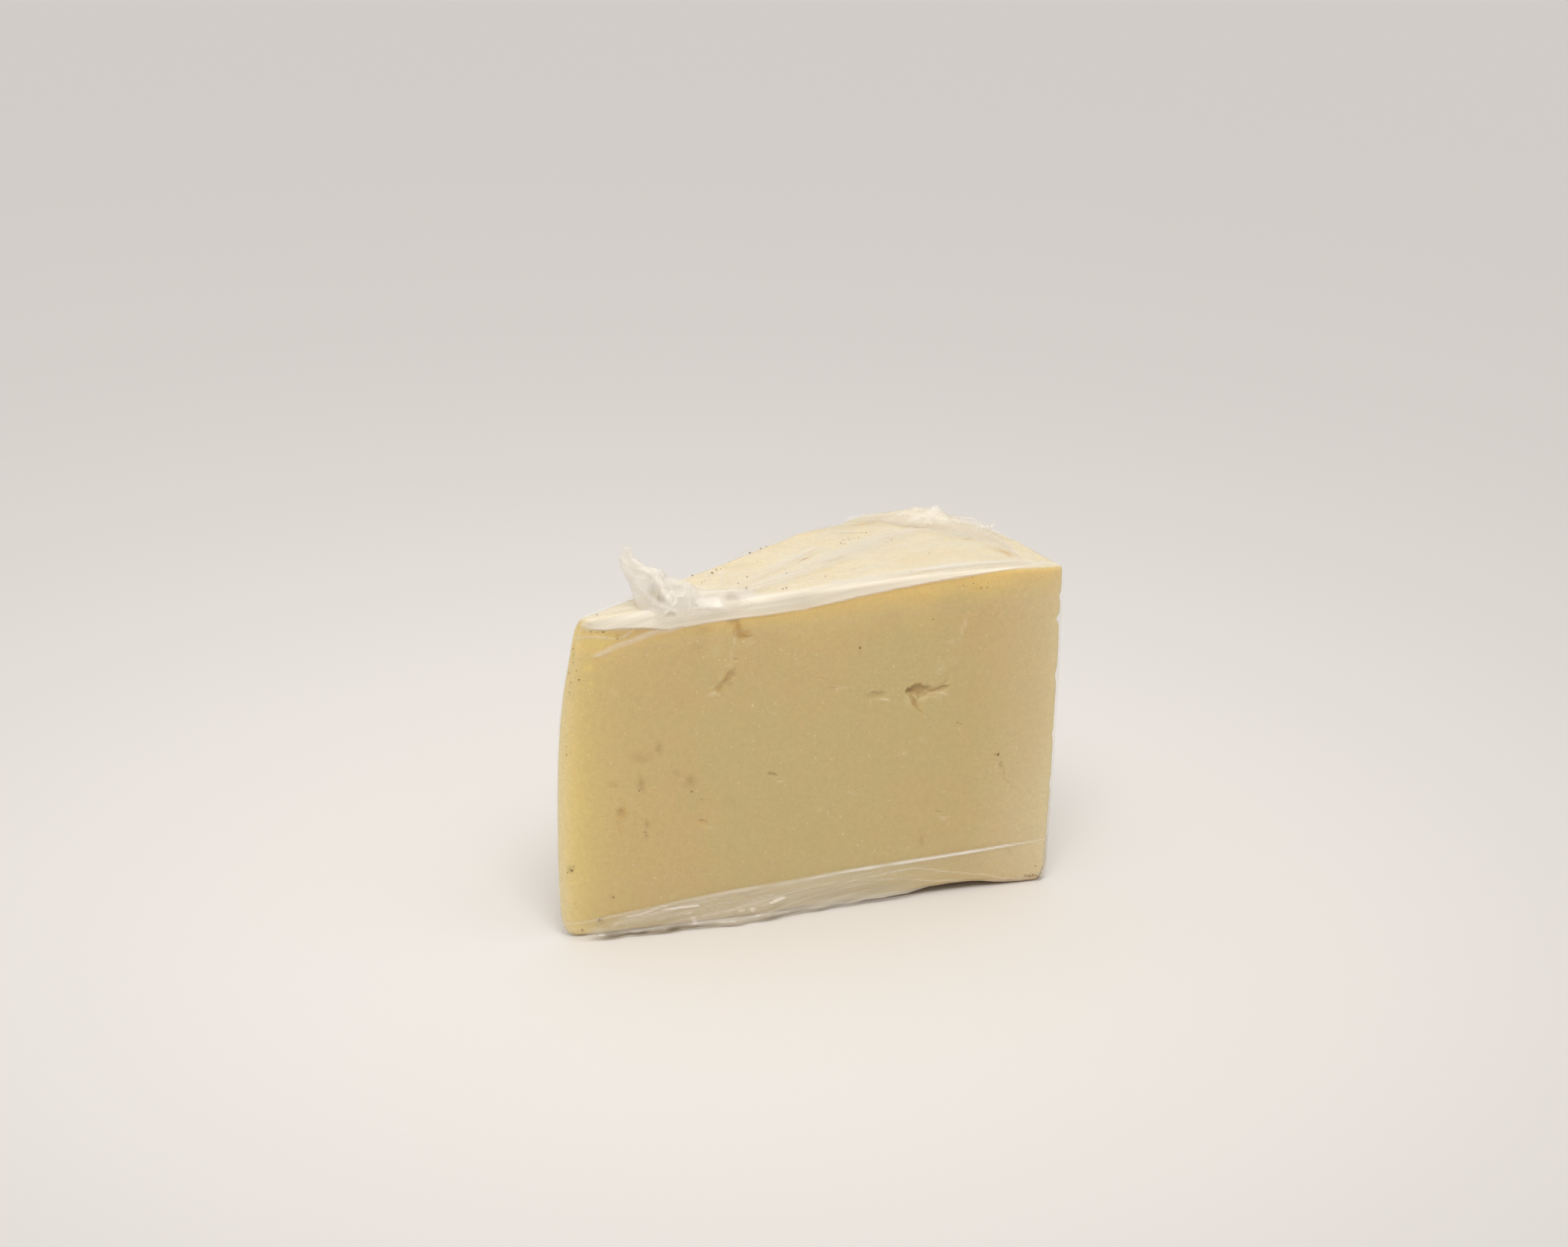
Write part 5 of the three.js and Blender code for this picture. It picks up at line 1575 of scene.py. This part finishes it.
def make_foot_shred(material):
    """Loose film that stands off the worn foot corner, of two layers."""
    z = 0.4 + SHRED_HEIGHT * np.linspace(0, 1, SHRED_POINTS) ** 1.4
    worn = FOOT_CORNER_REACH * np.clip(1 - z / FOOT_CORNER_RISE, 0, 1)
    parts = []
    for seed, reach in SHRED_LAYERS:
        points = []
        for row in range(SHRED_ROWS):
            share = row / (SHRED_ROWS - 1)
            out = math.sin(math.pi * share) * (0.5 + (reach - 0.5) * np.exp(-z / 5.0))
            x = rim_x(z) - 0.6 * worn - 0.4 + out
            points.append(np.column_stack([x, np.full(SHRED_POINTS, -0.5 + SHRED_DEPTH * share), z]))
        points = np.concatenate(points)
        crush = facets(points, 3.4, seed, 4) * np.exp(-points[:, 2] / 12) + 0.1
        points[:, 0] += 0.4 * crush
        lift = 0.4 * facets(points, 2.4, seed + 1, 4) * (points[:, 2] > 1)
        points[:, 2] = np.maximum(points[:, 2] + lift, 0.1)
        haze = 0.14 + 0.4 * np.exp(-points[:, 2] / 4.0) + 0.2 * smoothstep(np.abs(crush), 0.6, 1.1)
        flow = points[:, [2, 0, 1]] * (0.2, 0.8, 0.5)
        parts.append((points, sheet_quads(SHRED_ROWS, SHRED_POINTS), {"haze": haze, "flow": flow}))
    return make_joined("film_foot_shred", parts, material)


# Dark specks on the cuts and the top: place and radius
FRONT_SPECKS = [
    (81.1, 75.3, 0.42), (80.7, 73.6, 0.26), (18.7, 40.7, 0.2), (20.2, 28.6, 0.36), (20.6, 27.6, 0.2),
    (7.4, 4.6, 0.42), (8.2, 5.2, 0.3), (2.5, 2.1, 0.3), (11.3, 10.6, 0.28), (17.6, 12.1, 0.2),
    (68.9, 11.7, 0.14),
    (102.3, 81.5, 0.26), (110.5, 50.6, 0.2), (111.5, 50.1, 0.16), (122.9, 39.8, 0.36), (113.5, 92.5, 0.2),
    (113.8, 90.8, 0.26), (116.1, 89.2, 0.3), (117.9, 89.1, 0.2), (118.0, 90.6, 0.22), (110.8, 90.4, 0.18),
    (120.9, 91.9, 0.2), (0.8, 8.6, 0.16), (0.4, 10.0, 0.16), (15.9, 23.5, 0.2), (31.3, 6.1, 0.16),
    (95.5, 17.2, 0.16), (124.1, 13.4, 0.18), (126.0, 12.2, 0.2), (36.2, 36.3, 0.2), (33.4, 38.8, 0.24),
    (19.4, 41.3, 0.18), (1.6, 76.5, 0.2), (2.2, 73.9, 0.2), (-0.2, 19.8, 0.4), (0.3, 21.0, 0.26),
    (9.0, 86.5, 0.26), (7.3, 86.6, 0.2), (12.8, 84.3, 0.2), (15.9, 89.8, 0.34), (16.6, 90.2, 0.2),
    (15.3, 90.1, 0.2), (11.4, 88.4, 0.2), (5.2, 89.0, 0.22), (5.6, 87.0, 0.18), (135.7, 4.7, 0.24),
    (134.0, 1.9, 0.4), (135.0, 2.1, 0.34),
    (136.0, 1.8, 0.36), (132.6, 2.4, 0.24), (128.0, 2.8, 0.2), (12.8, 85.2, 0.16), (49.4, 87.6, 0.16),
    (0.7, 82.7, 0.16), (0.7, 80.9, 0.16), (0.7, 78.8, 0.14), (-0.5, 76.0, 0.2), (0.0, 73.3, 0.2),
    (-0.4, 70.6, 0.16), (-1.4, 55.4, 0.16), (-1.4, 53.2, 0.14), (5.8, 11.6, 0.18), (9.4, 20.7, 0.24),
]
TOP_SPECKS = [
    (88.5, 37.0, 0.3), (90.1, 39.7, 0.3), (91.8, 39.7, 0.34), (91.5, 37.7, 0.3), (97.5, 44.2, 0.26),
    (94.8, 39.9, 0.22), (78.8, 22.1, 0.24), (80.6, 22.6, 0.26), (82.1, 23.5, 0.26), (83.0, 23.9, 0.24),
    (84.1, 24.6, 0.26), (65.5, 17.0, 0.32), (103.0, 35.1, 0.26), (108.3, 19.5, 0.26), (74.4, 10.1, 0.2),
    (97.3, 4.9, 0.22), (54.6, 18.2, 0.42), (66.4, 42.0, 0.34), (68.4, 43.0, 0.3), (46.9, 25.4, 0.34),
    (41.2, 25.4, 0.26), (42.9, 19.6, 0.2), (41.7, 18.4, 0.2), (48.8, 27.8, 0.28), (50.2, 27.8, 0.22),
    (51.4, 28.8, 0.26), (54.9, 35.2, 0.34), (62.1, 38.6, 0.34), (98.4, 43.6, 0.2), (89.2, 36.0, 0.24),
    (8.0, 3.0, 0.24), (51.6, 9.8, 0.34), (51.2, 8.2, 0.46), (50.6, 13.6, 0.28),
    (50.9, 7.0, 0.3), (79.7, 22.4, 0.2), (77.6, 21.4, 0.22), (85.0, 25.2, 0.2), (60.2, 4.4, 0.22),
    (61.4, 4.8, 0.22),
]

# A fine brown crack on the top, from one end to the other
HAIRLINE = np.array([[71.7, 25.2], [77.8, 29.6]])
# Random specks on the back cut and on the rim: how many, how large and how high up
BACK_SPECKS = 26
BACK_SPECK_SIZE = (0.16, 0.4)
RIM_SPECKS = 16
RIM_SPECK_SIZE = (0.2, 0.45)
SPECK_HEIGHTS = (6, 90)
BACK_SPECK_RADII = (8, 118)
RIM_SPECK_TURNS = (0.05, 0.42)
HAIRLINE_DOTS = 16
# Specks on the front cut with a larger radius have two crumbs beside them
CRUMBLY_RADIUS = 0.24
CRUMB_SCATTER = 1.3
# First seeds of the specks' shapes
FRONT_SEED, CRUMB_SEED, TOP_SEED, HAIRLINE_SEED, BACK_SEED, RIM_SEED = 300, 350, 400, 460, 500, 600


def blob(centre, radius, seed):
    """A small uneven lump."""
    shape = bmesh.new()
    bmesh.ops.create_icosphere(shape, subdivisions=2, radius=1)
    points = np.array([vertex.co[:] for vertex in shape.verts])
    faces = np.array([[vertex.index for vertex in face.verts] for face in shape.faces])
    shape.free()
    points *= (0.85 * radius * (1 + 0.6 * noise(points * 3, 2.0, seed)))[:, None]
    stretch = np.random.default_rng(seed).uniform(0.55, 1.35, size=3)
    return points * stretch + np.array(centre), faces, {}


def surface_z(x, y):
    """Height just under the top at a place, with the rounding by the back cut."""
    over = max(0.0, CUT_EDGE_ROUND - from_back_cut(x, y))
    drop = CUT_EDGE_ROUND - math.sqrt(max(0.0, CUT_EDGE_ROUND ** 2 - min(over, CUT_EDGE_ROUND) ** 2))
    return float(top_z(x)) - float(back_wear(x, y)) - drop - 0.12


def make_specks(material):
    """Dark specks on the cheese, half sunk in it, with crumbs beside the larger ones."""
    parts = []
    crumbs = np.random.default_rng(283)
    for index, (x, z, radius) in enumerate(FRONT_SPECKS):
        depth = max(0.0, z - float(top_z(x)) + CUT_EDGE_ROUND)
        parts.append(blob((x, 0.1 + 0.4 * depth, z), radius, FRONT_SEED + index))
        for near in range(2 if radius > CRUMBLY_RADIUS else 0):
            off = crumbs.uniform(-CRUMB_SCATTER, CRUMB_SCATTER, size=2)
            centre = (x + off[0], 0.12 + 0.4 * depth, z + 0.8 * off[1])
            parts.append(blob(centre, radius * 0.4, CRUMB_SEED + index + near))
    for index, (x, y, radius) in enumerate(TOP_SPECKS):
        parts.append(blob((x, y, surface_z(x, y)), radius * 0.75, TOP_SEED + index))
    for index, share in enumerate(np.linspace(0, 1, HAIRLINE_DOTS)):
        x, y = HAIRLINE[0] * (1 - share) + HAIRLINE[1] * share
        width = 0.12 * math.sin(math.pi * (0.15 + 0.75 * share))
        parts.append(blob((x, y, surface_z(x, y) + 0.02), width, HAIRLINE_SEED + index))
    draw = np.random.default_rng(281)
    for index in range(BACK_SPECKS):
        radius, z = draw.uniform(*BACK_SPECK_RADII), draw.uniform(*SPECK_HEIGHTS)
        centre = (apex_x(z) + radius * math.cos(WEDGE_ANGLE), radius * math.sin(WEDGE_ANGLE) - 0.05, z)
        parts.append(blob(centre, draw.uniform(*BACK_SPECK_SIZE), BACK_SEED + index))
    for index in range(RIM_SPECKS):
        turn, z = draw.uniform(*RIM_SPECK_TURNS), draw.uniform(*SPECK_HEIGHTS)
        radius = float(rim_x(z) - apex_x(z)) - 0.5
        centre = (float(apex_x(z)) + radius * math.cos(turn), radius * math.sin(turn), z)
        parts.append(blob(centre, draw.uniform(*RIM_SPECK_SIZE), RIM_SEED + index))
    return make_joined("dark_specks", parts, material)


# Build the part
cheese_look = cheese_material()
film_look = film_material("film_tight", FILM_WHITE, 0.02, 0.9)
gather_look = film_material("film_gathered", FILM_CREAM, 0.03, 0.95)
make_cheese(cheese_look)
film_pieces = [
    make_cap(film_look),
    make_apron(film_look),
    make_sides(film_look),
    make_base(film_look),
    make_knot(gather_look),
    make_crest(gather_look),
    make_sprig(gather_look),
    make_foot_shred(gather_look),
]
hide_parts("cling_film")
make_specks(speck_material())

# Floor and light
FLOOR_HALF = 12.0
FLOOR_COLOUR = srgb(236, 232, 227)
WORLD_COLOUR = (0.985, 0.968, 0.952, 1)
SKY_AT_HORIZON = 0.25
SKY_RISE = 0.80
LAMP_PLACE = (-0.12, -0.38, 0.63)
LAMP_AIM = (0, 0.11, 0.0)
LAMP_SIDE = 0.3
LAMP_WATTS = 0.36
LAMP_COLOUR = (1, 0.99, 0.98)
LAMP_SPREAD = math.radians(70)
FILM_LAYERS_SEEN_THROUGH = 32


def make_floor():
    bpy.ops.mesh.primitive_plane_add(size=2 * FLOOR_HALF, location=(0, 0, 0))
    floor = bpy.context.active_object
    floor.name = "floor"
    made = Material("floor_paper", Base_Color=FLOOR_COLOUR, Roughness=0.7, Specular_IOR_Level=0.2)
    floor.data.materials.append(made.block)


def make_lamp():
    lamp = bpy.data.lights.new("softbox_above", "AREA")
    lamp.shape = "RECTANGLE"
    lamp.size = lamp.size_y = LAMP_SIDE
    lamp.energy = LAMP_WATTS
    lamp.color = LAMP_COLOUR
    lamp.spread = LAMP_SPREAD
    rig = bpy.data.objects.new("softbox_above", lamp)
    rig.location = LAMP_PLACE
    rig.rotation_euler = (Vector(LAMP_AIM) - Vector(LAMP_PLACE)).to_track_quat("-Z", "Y").to_euler()
    bpy.context.scene.collection.objects.link(rig)


def make_sky():
    """Soft light from all round that grows stronger towards the zenith."""
    world = bpy.data.worlds.new("studio")
    world.use_nodes = True
    tree = world.node_tree
    background = tree.nodes["Background"]
    background.inputs["Color"].default_value = WORLD_COLOUR
    direction = tree.nodes.new("ShaderNodeTexCoord")
    parts = tree.nodes.new("ShaderNodeSeparateXYZ")
    upward = tree.nodes.new("ShaderNodeMath")
    upward.operation = "MAXIMUM"
    upward.inputs[1].default_value = 0.0
    strength = tree.nodes.new("ShaderNodeMath")
    strength.operation = "MULTIPLY_ADD"
    strength.inputs[1].default_value = SKY_RISE
    strength.inputs[2].default_value = SKY_AT_HORIZON
    for output, socket in (
            (direction.outputs["Generated"], parts.inputs[0]),
            (parts.outputs["Z"], upward.inputs[0]),
            (upward.outputs[0], strength.inputs[0]),
            (strength.outputs[0], background.inputs["Strength"])):
        tree.links.new(output, socket)
    bpy.context.scene.world = world


make_floor()
make_lamp()
make_sky()
bpy.context.scene.view_settings.view_transform = "Standard"
bpy.context.scene.cycles.transparent_max_bounces = FILM_LAYERS_SEEN_THROUGH

# Camera: where it stood for the photograph, in millimetres on the wedge
CAMERA_PLACE = (-194.7, -739.8, 338.3)
CAMERA_AHEAD = Vector((0.3087, 0.8996, -0.3089))
CAMERA_ROLL = math.radians(0.749)
CAMERA_FOCAL_PIXELS = 4000
IMAGE_WIDTH = 2048
SENSOR_WIDTH = 36
CLIP_RANGE = (0.01, 60)


def make_camera():
    lens = bpy.data.cameras.new("photo_camera")
    lens.sensor_width = SENSOR_WIDTH
    lens.lens = CAMERA_FOCAL_PIXELS / IMAGE_WIDTH * SENSOR_WIDTH
    lens.clip_start, lens.clip_end = CLIP_RANGE
    camera = bpy.data.objects.new("photo_camera", lens)
    ahead = CAMERA_AHEAD.normalized()
    level_right = ahead.cross(Vector((0, 0, 1))).normalized()
    level_up = level_right.cross(ahead)
    right = level_right * math.cos(CAMERA_ROLL) + level_up * math.sin(CAMERA_ROLL)
    up = right.cross(ahead)
    turn = Matrix((right, up, -ahead)).transposed()
    camera.matrix_world = Matrix.Translation(Vector(to_frame([CAMERA_PLACE])[0])) @ turn.to_4x4()
    bpy.context.scene.collection.objects.link(camera)
    bpy.context.scene.camera = camera


make_camera()
